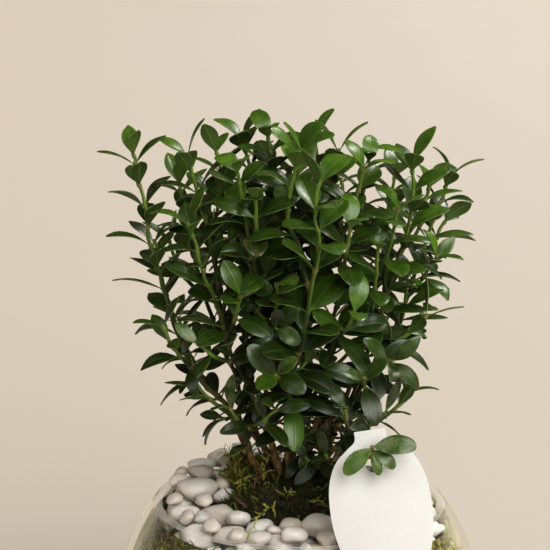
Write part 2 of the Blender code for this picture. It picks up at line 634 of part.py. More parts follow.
def tag_outline():
    """The vase shape round the hole's centre, as (x, z) pairs."""
    right = [(half, TAG_HOLE_DROP - drop) for drop, half in TAG_PROFILE]
    left = [(-x, z) for x, z in reversed(right)]
    return right + left


def tag_place():
    """Where the tag hangs: it leans back until an edge rests on the bowl."""
    outline = [Vector((x, TAG_THICKNESS / 2, z)) for x, z in tag_outline()]
    edge = []
    for a, b in zip(outline, outline[1:] + outline[:1]):
        edge += [a.lerp(b, k / 4) for k in range(4)]
    centre = Vector((0, 0, BOWL_CENTRE_Z))
    lean = 25.0
    while lean > 0:
        place = Matrix.Translation(TAG_HOLE_CENTRE) @ tag_axes(lean)
        if min((place @ p - centre).length for p in edge) < BOWL_RADIUS + GAP:
            return place
        lean -= 0.05
    return place


def twig_points():
    """The twig's last points, through the top of the tag's hole and out in front of it."""
    place = tag_place()
    through = place @ Vector((0, 0, TAG_HOLE_RADIUS - TWIG_BELOW_EDGE))
    return [(29, -53, 207), (37, -68, 212.5), tuple(through), *TWIG_BEYOND_TAG]


def card_tag(finish):
    bm = bmesh.new()
    back = TAG_THICKNESS / 2
    face = bm.faces.new([bm.verts.new((x, -back, z)) for x, z in tag_outline()])
    grown = bmesh.ops.extrude_face_region(bm, geom=[face])
    moved = [item for item in grown["geom"] if isinstance(item, bmesh.types.BMVert)]
    bmesh.ops.translate(bm, vec=(0, TAG_THICKNESS, 0), verts=moved)
    bmesh.ops.recalc_face_normals(bm, faces=bm.faces)
    tag = add_object("card_tag", bm, finish)
    hole = bmesh.new()
    bmesh.ops.create_cone(hole, cap_ends=True, segments=24, radius1=TAG_HOLE_RADIUS,
                          radius2=TAG_HOLE_RADIUS, depth=4 * TAG_THICKNESS,
                          matrix=Matrix.Rotation(math.pi / 2, 4, "X"))
    combine(tag, [add_object("hole", hole, finish)], "DIFFERENCE")
    place = tag_place()
    place.translation = place.translation * MM
    tag.data.transform(place)
    return tag


class Shoot:
    """A green shoot: its path, the part of it that is green, and the nodes its leaves grow from."""

    def __init__(self, number, spray, path, start, bearing, leaf_length):
        self.number = number
        self.spray = spray
        self.path = path
        self.start = start
        self.end = path.length
        self.bearing = bearing
        self.leaf_length = leaf_length
        self.nodes = []  # (distance, {quarter turn: leaf})

    def radius(self, distance):
        return between(SHOOT_RADII, (distance - self.start) / (self.end - self.start))

    def tube(self, grow=0.0):
        return tube(self.path, self.start, self.end, SHOOT_RADII, 6, LEAF_SPACING[0], grow)

    def node_places(self, rng):
        """(distance, quarter turns, opening, length) of each pair, closer and steeper at the tip."""
        places = []
        distance = self.start + FIRST_PAIR
        while distance < self.end - FIRST_PAIR:
            share = (distance - self.start) / (self.end - self.start)
            opening = between(LEAF_OPENING, share)
            opening += rng.uniform(-PAIR_OPENING_SPREAD, PAIR_OPENING_SPREAD)
            size = between(LEAF_SIZE, math.sin(math.pi * min(1.0, share * 1.1)))
            places.append((distance, len(places) % 2, opening, self.leaf_length * size))
            distance += between(LEAF_SPACING, share) * rng.uniform(0.9, 1.1)
        places.append((self.end - LAST_PAIR, len(places) % 2, LAST_OPENING,
                       self.leaf_length * LEAF_SIZE[0]))
        return places

    def leaf(self, place, half, turn_more, size_share, habit):
        """The leaf of a pair, its upper face turned to the light and the outside of the bush."""
        distance, quarter, opening, length = place
        bend, fold, width, turn_habit, opening_habit, size_habit = habit
        point, direction = self.path.at(distance)
        right, back = across(direction)
        facet = math.radians(self.bearing + 90 * quarter + 180 * half)
        turn = facet + math.radians(turn_habit + turn_more)
        opening = math.radians(opening + opening_habit)
        outward = right * math.cos(turn) + back * math.sin(turn)
        along = direction * math.cos(opening) + outward * math.sin(opening) + Vector((0, 0, LEAF_LIFT))
        face = direction * math.sin(opening) - outward * math.cos(opening)
        face += Vector((point.x, point.y, 0)).normalized() * FACE_OUTWARD + FACE_TO_LIGHT
        size = length * size_share * size_habit
        foot = point + (right * math.cos(facet) + back * math.sin(facet)) * self.radius(distance) * FOOT_DEPTH
        return Leaf(foot, along.normalized(), face, size, size * LEAF_WIDTH_SHARE * width,
                    math.radians(bend), math.radians(fold))

    def solid_nodes(self):
        """The nodes, without the leaves of those pairs that the solids leave out."""
        lower = len(self.nodes) * LOWER_SHARE
        return [(distance, {} if i < lower and i % 3 != 1 else leaves)
                for i, (distance, leaves) in enumerate(self.nodes)]

    def solid(self):
        """The square shoot with its leaves grown out of its sides, as one closed bmesh."""
        bm = bmesh.new()
        stations = [(self.start, None)]
        for distance, leaves in self.solid_nodes():
            if not leaves:
                stations.append((distance, None))
                continue
            stations.append((distance - NODE_HALF_HEIGHT, leaves))
            stations.append((distance + NODE_HALF_HEIGHT, None))
        rows = []
        for distance, _ in stations:
            corners = ring(self.path, distance, self.radius(distance) * CORNER_SHARE, 4,
                           self.bearing - 45)
            rows.append([bm.verts.new(corner) for corner in corners])
        for (_, leaves), low, high in zip(stations, rows, rows[1:]):
            for k in range(4):
                corners = [low[k], low[(k + 1) % 4], high[(k + 1) % 4], high[k]]
                if leaves and k in leaves:
                    leaves[k].skin(bm, corners)
                else:
                    bm.faces.new(corners)
        bm.faces.new(rows[0])
        bm.faces.new(rows[-1])
        bmesh.ops.recalc_face_normals(bm, faces=bm.faces)
        return bm


def all_shoots(wood):
    """The shoots in the order of the table, each on its stem or on its spray's first shoot."""
    shoots = []
    firsts = {}
    for number, (spray, bearing, length, points) in enumerate(SHOOTS):
        if spray not in firsts:
            path, joint = wood[spray]
            firsts[spray] = path
            shoots.append(Shoot(number, spray, path, joint + GAP, bearing, length))
        else:
            main = firsts[spray]
            foot = main.at(main.nearest(Vector(points[0])))[0]
            shoots.append(Shoot(number, spray, Path([foot, *points[1:]]), 0.0, bearing, length))
    return shoots


def tag_twig(wood, grow=0.0):
    path, joint = wood["tag_twig"]
    return tube(path, joint + GAP, path.length, (SHOOT_RADII[0], TWIG_END_RADIUS), 6, 10.0, grow)


def blocking_solids(shoots, wood):
    """What the leaves have to miss: the stems, the shoots and the tag."""
    solids = [Solid(stump(GAP), "wood")]
    for name, _, foot, end, _ in WOOD:
        path, joint = wood[name]
        stem = tube(path, 0.0, joint, (foot, end), WOOD_SIDES, WOOD_STEP, LEAF_CLEARANCE)
        solids.append(Solid(stem, "wood"))
    solids += [Solid(shoot.tube(SHOOT_CLEARANCE), shoot.number) for shoot in shoots]
    solids.append(Solid(tag_twig(wood, LEAF_CLEARANCE), "tag_twig"))
    card = bmesh.new()
    size = Matrix.Diagonal((2 * max(half for _, half in TAG_PROFILE), 3 * TAG_THICKNESS, 60, 1))
    bmesh.ops.create_cube(card, size=1.0, matrix=tag_place() @ Matrix.Translation((0, 0, -20)) @ size)
    solids.append(Solid(card, "tag"))
    return solids


def single_leaves(shoots, wood, solids):
    """The leaves that stand out by themselves, as (spray, leaf)."""
    rng = random.Random(5)
    made = []
    for spray, foot, tip, face, width in SINGLE_LEAVES:
        paths = [shoot.path for shoot in shoots if shoot.spray == spray] or [wood[spray][0]]
        feet = [path.at(path.nearest(Vector(foot)))[0] for path in paths]
        foot = min(feet, key=lambda point: (point - Vector(foot)).length)
        along = Vector(tip) - foot
        leaf = Leaf(foot, along.normalized(), Vector(face), along.length, width,
                    math.radians(rng.uniform(10, 25)), math.radians(8))
        made.append((spray, leaf))
        solids.append(Solid(leaf.solid(), "leaf"))
    return made


def place_leaves(shoots, solids):
    """Tries each leaf at a few turns and two sizes, and keeps the first that is clear."""
    for shoot in shoots:
        rng = random.Random(100 + shoot.number)
        for place in shoot.node_places(rng):
            grown = {}
            fresh = []
            for half in (0, 1):
                habit = [rng.uniform(*span) for span in LEAF_HABIT]
                for size, turn in [(size, turn) for size in (1.0, SMALLER_LEAF) for turn in LEAF_TURNS]:
                    leaf = shoot.leaf(place, half, turn, size, habit)
                    probe = Solid(leaf.solid(LEAF_CLEARANCE), None)
                    if not any(s.owner != shoot.number and s.meets(probe) for s in solids):
                        fresh.append(Solid(leaf.solid(), "leaf"))
                        grown[(place[1] + 2 * half) % 4] = leaf
                        break
            solids += fresh
            if grown:
                shoot.nodes.append((place[0], grown))


def leafy_sprays(finish):
    """One object for each spray: its shoots and leaves joined."""
    wood = wood_paths()
    shoots = all_shoots(wood)
    solids = blocking_solids(shoots, wood)
    singles = single_leaves(shoots, wood, solids)
    place_leaves(shoots, solids)
    pieces = {}
    for shoot in shoots:
        pieces.setdefault(shoot.spray, []).append(shoot.solid())
    pieces["tag_twig"] = [tag_twig(wood)]
    for spray, leaf in singles:
        pieces[spray].append(leaf.solid())
    made = []
    for spray, meshes in pieces.items():
        name = "leafy_spray_" + spray
        first, *others = [add_object(name if i == 0 else "piece", bm, finish)
                          for i, bm in enumerate(meshes)]
        combine(first, others, "UNION")
        made.append(first)
    return made


def main():
    for old in list(bpy.data.objects):
        bpy.data.objects.remove(old)
    glass = material("clear_glass", (0.9, 0.93, 0.92), 0.02, transmission=1.0)
    stone = material("pale_stone", (0.75, 0.72, 0.68), 0.45)
    moss = material("green_moss", (0.12, 0.15, 0.03), 0.95)
    soil = material("dark_soil", (0.05, 0.035, 0.02), 0.95)
    bark = material("brown_bark", (0.22, 0.13, 0.06), 0.85)
    leaf = material("green_leaf", (0.03, 0.09, 0.02), 0.35)
    card = material("white_card", (0.85, 0.83, 0.78), 0.6)
    glass_bowl(glass)
    moss_lining(moss)
    root_ball(soil)
    moss_bed(moss)
    pebbles(stone)
    woody_stems(bark)
    leafy_sprays(leaf)
    card_tag(card)


main()
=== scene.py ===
# %% [markdown]
# # A boxwood in a glass bowl
#
# A small evergreen bush stands in a clear bubble bowl, with white pebbles and moss round its foot
# and a card tag on a low twig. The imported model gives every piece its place. This script puts a
# finer piece over each of them and gives it its finish. Sizes are in millimetres, and MM makes
# metres of them when a mesh is finished.

import math
import random
from bisect import bisect_left
from itertools import accumulate, product

import bmesh
import bpy
from mathutils import Matrix, Vector, noise
from mathutils.bvhtree import BVHTree


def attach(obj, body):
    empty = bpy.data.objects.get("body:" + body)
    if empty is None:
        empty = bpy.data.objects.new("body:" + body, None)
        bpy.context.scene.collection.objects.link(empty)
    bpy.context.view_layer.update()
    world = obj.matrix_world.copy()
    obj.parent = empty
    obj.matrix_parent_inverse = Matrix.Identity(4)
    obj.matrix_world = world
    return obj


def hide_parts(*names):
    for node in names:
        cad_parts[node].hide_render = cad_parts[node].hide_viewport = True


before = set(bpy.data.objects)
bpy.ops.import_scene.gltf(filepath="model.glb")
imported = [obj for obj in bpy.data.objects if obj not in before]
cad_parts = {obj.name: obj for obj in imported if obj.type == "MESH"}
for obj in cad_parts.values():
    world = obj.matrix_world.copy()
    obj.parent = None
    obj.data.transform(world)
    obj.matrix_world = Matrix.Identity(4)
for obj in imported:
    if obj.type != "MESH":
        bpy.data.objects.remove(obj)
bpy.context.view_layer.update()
MM = 0.001

# %% [markdown]
# ## Camera
#
# The photograph looks slightly down on the bush from the front, through a long lens, so the
# picture has little perspective. The lens follows from how many millimetres the picture's width
# covers at the bush.

# %% Camera
CAMERA_TARGET = Vector((-14.7, 0.0, 304.6))
CAMERA_DISTANCE = 1600.0
CAMERA_ELEVATION = math.radians(14.2)
PICTURE_WIDTH = 330.0  # millimetres across the picture at the target
SENSOR_WIDTH = 36.0


def show(name, data):
    """A new object in the scene, with its mesh, lamp or camera."""
    made = bpy.data.objects.new(name, data)
    bpy.context.scene.collection.objects.link(made)
    return made


def aim(target, direction):
    """Turns a camera or lamp to look in a direction."""
    target.rotation_mode = "QUATERNION"
    target.rotation_quaternion = direction.to_track_quat("-Z", "Y")


camera = show("camera", bpy.data.cameras.new("camera"))
camera.data.sensor_width = SENSOR_WIDTH
camera.data.lens = SENSOR_WIDTH * CAMERA_DISTANCE / PICTURE_WIDTH
camera.data.clip_start, camera.data.clip_end = 0.05, 60.0
sight = Vector((0.0, math.cos(CAMERA_ELEVATION), -math.sin(CAMERA_ELEVATION)))
camera.location = (CAMERA_TARGET - sight * CAMERA_DISTANCE) * MM
aim(camera, sight)
bpy.context.scene.camera = camera
print("lens", round(camera.data.lens, 1), "mm")

# %% [markdown]
# ## Helpers for materials
#
# A material is a small network of nodes, and so is a group that several materials use. One class
# builds both: it adds nodes, fills or links their sockets, and sets the Principled shader. Every
# pattern reads Object coordinates or an attribute of the piece, so it stays put when the camera
# moves.

# %% Material helpers
class Finish:
    """A node tree and short ways to build it."""

    def __init__(self, tree):
        self.tree = tree

    def fill(self, socket, value):
        """Links a socket to the output of a node, or gives it a plain value."""
        if isinstance(value, bpy.types.NodeSocket):
            self.tree.links.new(value, socket)
        else:
            socket.default_value = value

    def node(self, kind, inputs=(), **settings):
        """The outputs of a new node. Its inputs go by name or number."""
        made = self.tree.nodes.new(kind)
        for key, value in settings.items():
            setattr(made, key, value)
        for key, value in dict(inputs).items():
            self.fill(made.inputs[key], value)
        return made.outputs

    def set(self, **values):
        """Fills sockets of the Principled shader."""
        sockets = self.tree.nodes["Principled BSDF"].inputs
        for key, value in values.items():
            self.fill(sockets[key.replace("_", " ").title().replace("Ior", "IOR")], value)

    def maths(self, operation, *values):
        return self.node("ShaderNodeMath", enumerate(values), operation=operation)[0]

    def times(self, first, second):
        return self.maths("MULTIPLY", first, second)

    def plus(self, first, second):
        return self.maths("ADD", first, second)

    def ramp(self, value, low, high):
        """0 below one value and 1 above the other, with soft ends."""
        ends = {0: value, 1: low, 2: high}
        return self.node("ShaderNodeMapRange", ends, interpolation_type="SMOOTHSTEP")[0]

    def blend(self, share, first, second):
        """A colour between two others."""
        first, second = ((*c, 1.0) if isinstance(c, tuple) else c for c in (first, second))
        return self.node("ShaderNodeMix", {0: share, 6: first, 7: second}, data_type="RGBA")[2]

    def layered(self, colour, *layers):
        """A colour under thin coats of others, each given as (mask, strength, colour)."""
        for mask, strength, coat in layers:
            colour = self.blend(self.times(mask, strength), colour, coat)
        return colour

    def parts(self, vector):
        """The three parts of a vector."""
        return self.node("ShaderNodeSeparateXYZ", {0: vector})

    def attribute(self, name):
        return self.parts(self.node("ShaderNodeAttribute", attribute_name=name)["Vector"])

    def place(self):
        return self.node("ShaderNodeTexCoord")["Object"]

    def facing(self):
        """0 where one looks straight at the surface and 1 where one looks along it."""
        return self.node("ShaderNodeLayerWeight", {"Blend": 0.5})["Facing"]

    def unshaded(self, strength):
        """1, and less for the rays that look for shadows."""
        shadow_ray = self.node("ShaderNodeLightPath")["Is Shadow Ray"]
        return self.maths("SUBTRACT", 1.0, self.times(shadow_ray, strength))

    def bump(self, strength, distance, height, normal):
        return self.node("ShaderNodeBump", {"Strength": strength, "Distance": distance,
                                            "Height": height, "Normal": normal})[0]

    def mottled(self, scale, relief, depth, stretch=1.0):
        """The outputs of the mottled surface group, set to this material's own values."""
        return self.node("ShaderNodeGroup", {"Scale": scale, "Stretch": stretch, "Relief": relief,
                                             "Depth": depth}, node_tree=MOTTLE)


def new_finish(name, **values):
    """A material with values set on its shader, ready for its nodes."""
    material = bpy.data.materials.new(name)
    material.use_nodes = True
    made = Finish(material.node_tree)
    made.material = material
    made.set(**values)
    return made


# %% [markdown]
# Most of these surfaces are mottled: bark, stone, moss and soil all change colour in soft patches
# with finer grain on top. That is one node group, used by each material with its own scale and
# strength. It gives masks for the colour and a normal for the relief.

# %% Mottled surface group
GRAIN_FINENESS = 6.0  # times the scale of the patches
MASK_ENDS = (0.35, 0.65)  # of the noise, which keeps to its middle values


def mottle_group():
    group = Finish(bpy.data.node_groups.new("mottle", "ShaderNodeTree"))
    sockets = group.tree.interface.new_socket
    for name, value in (("Scale", 50.0), ("Stretch", 1.0), ("Relief", 0.3), ("Depth", 0.0005)):
        sockets(name, in_out="INPUT", socket_type="NodeSocketFloat").default_value = value
    for name, kind in (("Patches", "Float"), ("Grain", "Float"), ("Normal", "Vector")):
        sockets(name, in_out="OUTPUT", socket_type="NodeSocket" + kind)
    given = group.node("NodeGroupInput")
    squeeze = group.node("ShaderNodeCombineXYZ", {0: 1.0, 1: 1.0, 2: given["Stretch"]})[0]
    place = group.node("ShaderNodeVectorMath", {0: group.place(), 1: squeeze},
                       operation="MULTIPLY")[0]
    patches, grain = (
        group.node("ShaderNodeTexNoise", {"Vector": place, "Scale": scale, "Detail": detail,
                                          "Roughness": roughness})["Fac"]
        for scale, detail, roughness in ((given["Scale"], 3.0, 0.55),
                                         (group.times(given["Scale"], GRAIN_FINENESS), 4.0, 0.6)))
    height = group.plus(group.times(grain, 0.5), patches)
    relief = group.node("ShaderNodeBump", {"Strength": given["Relief"], "Distance": given["Depth"],
                                           "Height": height})[0]
    group.node("NodeGroupOutput", {"Patches": group.ramp(patches, *MASK_ENDS),
                                   "Grain": group.ramp(grain, *MASK_ENDS), "Normal": relief})
    return group.tree


MOTTLE = mottle_group()
print("groups", [group.name for group in bpy.data.node_groups])

# %% [markdown]
# ## Helpers for pieces
#
# Every new piece starts as a bmesh in millimetres and becomes an object at the origin. A turned
# piece is a line of points spun about the bowl's axis. Repeated bits, such as moss, are one small
# pattern mesh that is copied, placed and gathered into a single piece.

# %% Piece helpers
def mesh_of(bm, name):
    """A mesh made of a bmesh, which is freed."""
    mesh = bpy.data.meshes.new(name)
    bm.to_mesh(mesh)
    bm.free()
    return mesh


def add_piece(name, bm, finishes, replaced, sharp=40.0):
    """An object from a bmesh in millimetres, riding on the model and standing for one node."""
    bmesh.ops.scale(bm, vec=(MM, MM, MM), verts=bm.verts)
    mesh = mesh_of(bm, name)
    mesh.shade_smooth()
    mesh.set_sharp_from_angle(angle=math.radians(sharp))
    for finish in finishes:
        mesh.materials.append(finish.material)
    made = show(name, mesh)
    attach(made, "root")
    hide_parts(replaced)
    print(name, len(mesh.polygons), "faces")


def turned(profile, steps):
    """A bmesh turned from (radius, height) pairs that start and end on the axis."""
    bm = bmesh.new()
    verts = [bm.verts.new((r, 0, z)) for r, z in profile]
    edges = [bm.edges.new(pair) for pair in zip(verts, verts[1:])]
    bmesh.ops.spin(bm, geom=verts + edges, cent=(0, 0, 0), axis=(0, 0, 1), angle=math.tau,
                   steps=steps, use_merge=True, use_duplicate=False)
    bmesh.ops.remove_doubles(bm, verts=bm.verts, dist=1e-4)
    bmesh.ops.recalc_face_normals(bm, faces=bm.faces)
    return bm


def between(ends, share):
    """The value at a share of the way from the first of two to the second."""
    return ends[0] + (ends[1] - ends[0]) * share


def clamp(value):
    return min(1.0, max(0.0, value))


def polar(distance, turn):
    """The point (x, y) at a distance and a bearing in radians."""
    return distance * math.cos(turn), distance * math.sin(turn)


def any_turn(rng):
    return rng.uniform(0, math.tau)


def gather(bm, pattern, place, kind, tips=None):
    """Adds a copy of a pattern mesh. Its vertices carry a kind, weaker where a tip share is low,
    which paints shade towards a moss copy's foot.
    """
    copy = pattern.copy()
    copy.transform(place)
    values = copy.attributes.new("kind", "FLOAT_VECTOR", "POINT")
    first, second, third = kind
    tips = tips or [1.0] * len(copy.vertices)
    values.data.foreach_set("vector", [v for tip in tips for v in (first, second * tip, third)])
    bm.from_mesh(copy)
    bpy.data.meshes.remove(copy)


# %% [markdown]
# ## Glass bowl
#
# The bowl is blown glass with a wide mouth that is cut and ground flat. It is a sphere with a flat
# foot, so one profile is turned: outside wall, rounded rim, inside wall and floor.

# %% Bowl
BOWL_RADIUS = 111.5
BOWL_CENTRE_Z = 95.0
BOWL_CENTRE = Vector((0, 0, BOWL_CENTRE_Z))
BOWL_WALL = 4.5
BOWL_INSIDE = BOWL_RADIUS - BOWL_WALL
BOWL_FLOOR = 6.0
RIM_Z = 163.0
RIM_ROUND = 1.3
GAP = 0.3
LINING_TOP_LATITUDE = 28
LINING_THICKNESS = 6.5
BOWL_STEPS = 144
ARC_STEPS = 40
LIP_STEPS = 10
GROUND, MISTED = 1, 2  # where these finishes stand in the bowl's list, after the clear one


def latitude_of(radius, height):
    """Degrees above the middle at which a sphere about the bowl's centre has this height."""
    return math.degrees(math.asin((height - BOWL_CENTRE_Z) / radius))


def arc(radius, low, high, steps=ARC_STEPS):
    """(radius, height) pairs on a sphere about the bowl's centre, between two latitudes."""
    turns = [math.radians(between((low, high), i / steps)) for i in range(steps + 1)]
    return [(radius * math.cos(a), BOWL_CENTRE_Z + radius * math.sin(a)) for a in turns]


def glass_bowl():
    outer, inner = (arc(radius, latitude_of(radius, low), latitude_of(radius, RIM_Z - RIM_ROUND))
                    for radius, low in ((BOWL_RADIUS, 0), (BOWL_INSIDE, BOWL_FLOOR)))
    foot, first = outer[0][0], outer[1]
    heel = [(foot - 2.0, 0.0), (foot - 0.6, 0.35), (first[0] - 0.6, first[1] - 0.3)]
    middle = (outer[-1][0] + inner[-1][0]) / 2
    half = (outer[-1][0] - inner[-1][0]) / 2
    turns = [math.pi * i / LIP_STEPS for i in range(1, LIP_STEPS)]
    lip = [(middle + half * math.cos(a), RIM_Z - RIM_ROUND * (1 - math.sin(a) ** 0.5))
           for a in turns]
    bm = turned([(0, 0), *heel, *outer[2:], *lip, *reversed(inner), (0, BOWL_FLOOR)], BOWL_STEPS)
    for face in bm.faces:
        spot = face.calc_center_median()
        if spot.z > RIM_Z - RIM_ROUND * 0.75:
            face.material_index = GROUND
        elif spot.z > BOWL_FLOOR + 1 and (spot - BOWL_CENTRE).length < BOWL_INSIDE + BOWL_WALL / 2:
            face.material_index = MISTED
    return bm


# %% [markdown]
# The two faces of a thin blown wall run side by side, so it hardly bends the light. The shader is
# given a low index for the body of the glass and a clear coat with the true index for the
# reflections. Where the wall is seen edge-on it is greener, and a sheen gives the haze of dust.
# Rendered glass would cast a hard dark shadow on what it holds, so it turns see-through for shadow
# rays. The cut rim is ground, which leaves a fine matt skin that scatters light.
#
# Damp from the moss mists the inner face. Like any thin film, the mist covers more the flatter one
# looks along it, so its opacity follows the angle of sight. It thins out again at the very turn of
# the wall. Towards the right, where the key lamp falls, it is thinner still, so that side comes
# out darker: painted shade.

# %% Glass
GLASS_INDEX = 1.01  # of the body: the coat has the true one
glass = new_finish("clear_glass", ior=GLASS_INDEX, transmission_weight=1.0, coat_weight=0.5,
                   coat_ior=1.5, sheen_weight=0.45, sheen_roughness=0.36,
                   sheen_tint=(1.0, 0.94, 0.74, 1.0))
edge_on = glass.ramp(glass.facing(), 0.45, 1.0)
smears = glass.mottled(30.0, 0.02, 0.0003)
glass.set(base_color=glass.blend(edge_on, (0.99, 0.995, 0.985), (0.965, 0.96, 0.88)),
          roughness=glass.plus(glass.times(smears["Patches"], 0.03), glass.times(edge_on, 0.1)),
          normal=smears["Normal"], alpha=glass.unshaded(0.9))

ground = new_finish("ground_glass", base_color=(0.95, 0.92, 0.84, 1.0), ior=GLASS_INDEX,
                    transmission_weight=0.2, alpha=0.34)
frost = ground.mottled(500.0, 0.3, 0.0002)
ground.set(roughness=ground.plus(0.15, ground.times(frost["Grain"], 0.2)), normal=frost["Normal"])

mist = new_finish("misted_glass", roughness=0.6)
drops = mist.mottled(60.0, 0.05, 0.0002)
grazing = mist.times(mist.ramp(mist.facing(), 0.50, 0.78), mist.ramp(mist.facing(), 1.04, 0.80))
# Painted shade: the mist is thinner at the right, where the key lamp falls, so that side comes out
# darker.
thin_mist_painted_shade = mist.ramp(mist.parts(mist.place())["X"], -0.06, 0.10)
damp = mist.plus(mist.times(drops["Patches"], 0.2), mist.times(thin_mist_painted_shade, -0.26))
mist.set(base_color=mist.blend(drops["Patches"], (0.50, 0.47, 0.34), (0.60, 0.57, 0.43)),
         alpha=mist.times(mist.times(grazing, mist.plus(0.49, damp)), mist.unshaded(1.0)))
add_piece("blown_glass_bowl", glass_bowl(), [glass, ground, mist], "glass_bowl")

# %% [markdown]
# ## Soil
#
# The dark potting soil hardly shows, between pebbles and moss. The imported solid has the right
# shape, so it stays and only gets a finish.

# %% Soil
soil = new_finish("dark_soil", roughness=0.95)
crumbs = soil.mottled(220.0, 0.8, 0.002)
soil.set(base_color=soil.blend(crumbs["Grain"], (0.008, 0.005, 0.003), (0.05, 0.032, 0.018)),
         normal=crumbs["Normal"])
root_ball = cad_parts["root_ball"]
root_ball.data.materials.clear()
root_ball.data.materials.append(soil.material)
print("root ball in", soil.material.name)

# %% [markdown]
# ## Pebbles
#
# Tumbled white and grey stones fill the ring between glass and moss. Real pebbles come to rest one
# on another, so each new stone here tries many places and takes the lowest one, resting on the
# bed or on its neighbours and staying inside the glass. At the back left they may heap up higher.
# The small ones come last and fill the gaps.

# %% Where pebbles come to rest
SOIL_TOP_Z = 160.0
MOSS_RADIUS = 47.5
MOSS_RISE = 20.0
MOSS_DOME_RADIUS = 54.0  # where the dome would come down to the soil
MOSS_TUFT = Vector((-34.0, 14.0))
MOSS_TUFT_RISE = 6.0
MOSS_TUFT_RADIUS = 15.0
PEBBLE_BED_RADIUS = 53.0
PEBBLE_BED_Z = 147.0
PEBBLE_RING = (41.0, 88.0)  # inner edge, and as far as a middle is tried
PEBBLE_TRIES = 80
PEBBLE_LIMIT = 165.0  # highest middle of a stone
HEAP_BEARING = 142.0
HEAP_SPREAD = 42.0
HEAP_RISE = 11.0
PEBBLE_COUNT = 230
PEBBLE_LENGTHS = (6.8, 7.6, 8.4, 9.2, 10.4, 12.2)  # half the longest side
PEBBLE_WIDTH = (0.68, 0.9)  # of the length
PEBBLE_HEIGHT = (0.5, 0.68)
STONE_ON_MOSS = 0.4  # of a stone's half width: nearer to the moss it lies on it
STONE_SUNK = 3.0  # in the moss
STONE_OVERLAP = 0.97  # of their reach: two stones closer than this lie one on the other
SMALL_PEBBLES = 110
SMALL_PEBBLE_LENGTH = 5.6
PEBBLE_FREE_Z = 158.0  # below it a fringe of moss stands between stones and glass
MOSS_EDGE = 3.5


def bed_height(distance):
    """Height of the soil under the pebbles at a distance from the axis."""
    edge_radius, edge_z = arc(BOWL_INSIDE - LINING_THICKNESS - 2 * GAP,
                              LINING_TOP_LATITUDE, LINING_TOP_LATITUDE)[0]
    share = (distance - PEBBLE_BED_RADIUS) / (edge_radius - PEBBLE_BED_RADIUS)
    return between((PEBBLE_BED_Z, edge_z), max(0.0, share))


def moss_height(x, y):
    """Height of the moss bed: a low dome with a tuft and small waves."""
    dome = MOSS_RISE * (1 - (math.hypot(x, y) / MOSS_DOME_RADIUS) ** 2.4)
    tuft = MOSS_TUFT_RISE * math.exp(-((Vector((x, y)) - MOSS_TUFT).length / MOSS_TUFT_RADIUS) ** 2)
    waves = (1.1 * math.sin(0.31 * x + 1.0) * math.cos(0.27 * y)
             + 0.7 * math.sin(0.55 * x + 0.43 * y))
    return SOIL_TOP_Z + GAP + dome + tuft + waves


def heap_height(x, y):
    """How much higher the stones may lie, most at the back left."""
    off = (math.degrees(math.atan2(y, x)) - HEAP_BEARING + 180) % 360 - 180
    return HEAP_RISE * math.exp(-(off / HEAP_SPREAD) ** 2)


def resting_height(x, y, half, wide, laid):
    """How high a stone's middle lies at a place, on the bed, the moss or other stones."""
    distance = math.hypot(x, y)
    z = bed_height(distance) + half.z
    if distance < MOSS_RADIUS + wide * STONE_ON_MOSS:
        z = max(z, moss_height(x, y) - STONE_SUNK + half.z * 0.6)
    for other, size in laid:
        gap = math.hypot(other.x - x, other.y - y) / ((size.x + size.y) / 2 + wide)
        if gap < STONE_OVERLAP:
            z = max(z, other.z + (size.z + half.z) * math.sqrt(1 - gap * gap))
    return z


def lay_pebbles():
    """(middle, half sizes) of each stone."""
    rng = random.Random(11)
    laid = []
    for number in range(PEBBLE_COUNT + SMALL_PEBBLES):
        length = rng.choice(PEBBLE_LENGTHS) * rng.uniform(0.95, 1.05)
        if number >= PEBBLE_COUNT:
            length = SMALL_PEBBLE_LENGTH * rng.uniform(0.85, 1.2)
        half = Vector((length, length * rng.uniform(*PEBBLE_WIDTH),
                       length * rng.uniform(*PEBBLE_HEIGHT)))
        wide = (half.x + half.y) / 2
        best = None
        for _ in range(PEBBLE_TRIES):
            turn = any_turn(rng)
            distance = rng.uniform(PEBBLE_RING[0] + wide * 0.6, PEBBLE_RING[1])
            x, y = polar(distance, turn)
            z = resting_height(x, y, half, wide, laid)
            height = min(z + half.z * 0.4, RIM_Z) - BOWL_CENTRE_Z
            room = math.sqrt(BOWL_INSIDE ** 2 - height ** 2)
            score = z - heap_height(x, y)
            if (distance + wide <= room - (MOSS_EDGE if z < PEBBLE_FREE_Z else GAP)
                    and score < PEBBLE_LIMIT and (best is None or score < best[0])):
                best = (score, Vector((x, y, z)))
        if best:
            laid.append((best[1], half))
    return laid


STONES = lay_pebbles()
print("pebbles laid", len(STONES))


def in_a_stone(point, grow):
    """Whether a point lies in a stone, or closer to it than a distance."""
    for middle, half in STONES:
        off = point - middle
        wide = (half.x + half.y) / 2 + grow
        if (math.hypot(off.x, off.y) / wide) ** 2 + (off.z / (half.z + grow)) ** 2 < 1:
            return True
    return False


# %% [markdown]
# A stone pattern is a sphere made uneven with noise and worn to a few soft flats. A dozen of them,
# turned at will and stretched to each stone's size, are enough for hundreds of pebbles.

# %% Pebbles
STONE_FLATS = 6


def stone_pattern(seed):
    """A rounded stone of size 1."""
    rng = random.Random(seed)
    flats = [(Vector([rng.gauss(0, 1) for _ in range(3)]).normalized(), rng.uniform(0.72, 0.9))
             for _ in range(STONE_FLATS)]
    bm = bmesh.new()
    bmesh.ops.create_icosphere(bm, subdivisions=3, radius=1.0)
    for vert in bm.verts:
        off = noise.noise(vert.co * 0.9 + Vector((seed * 7.3, 0, 0)))
        pits = noise.noise(vert.co * 4.5 + Vector((0, 0, seed * 3.7)))
        vert.co *= 1.06 + 0.26 * off + 0.025 * pits
        for out, reach in flats:
            vert.co -= out * 0.75 * max(0.0, vert.co.dot(out) - reach)
    return mesh_of(bm, "stone")


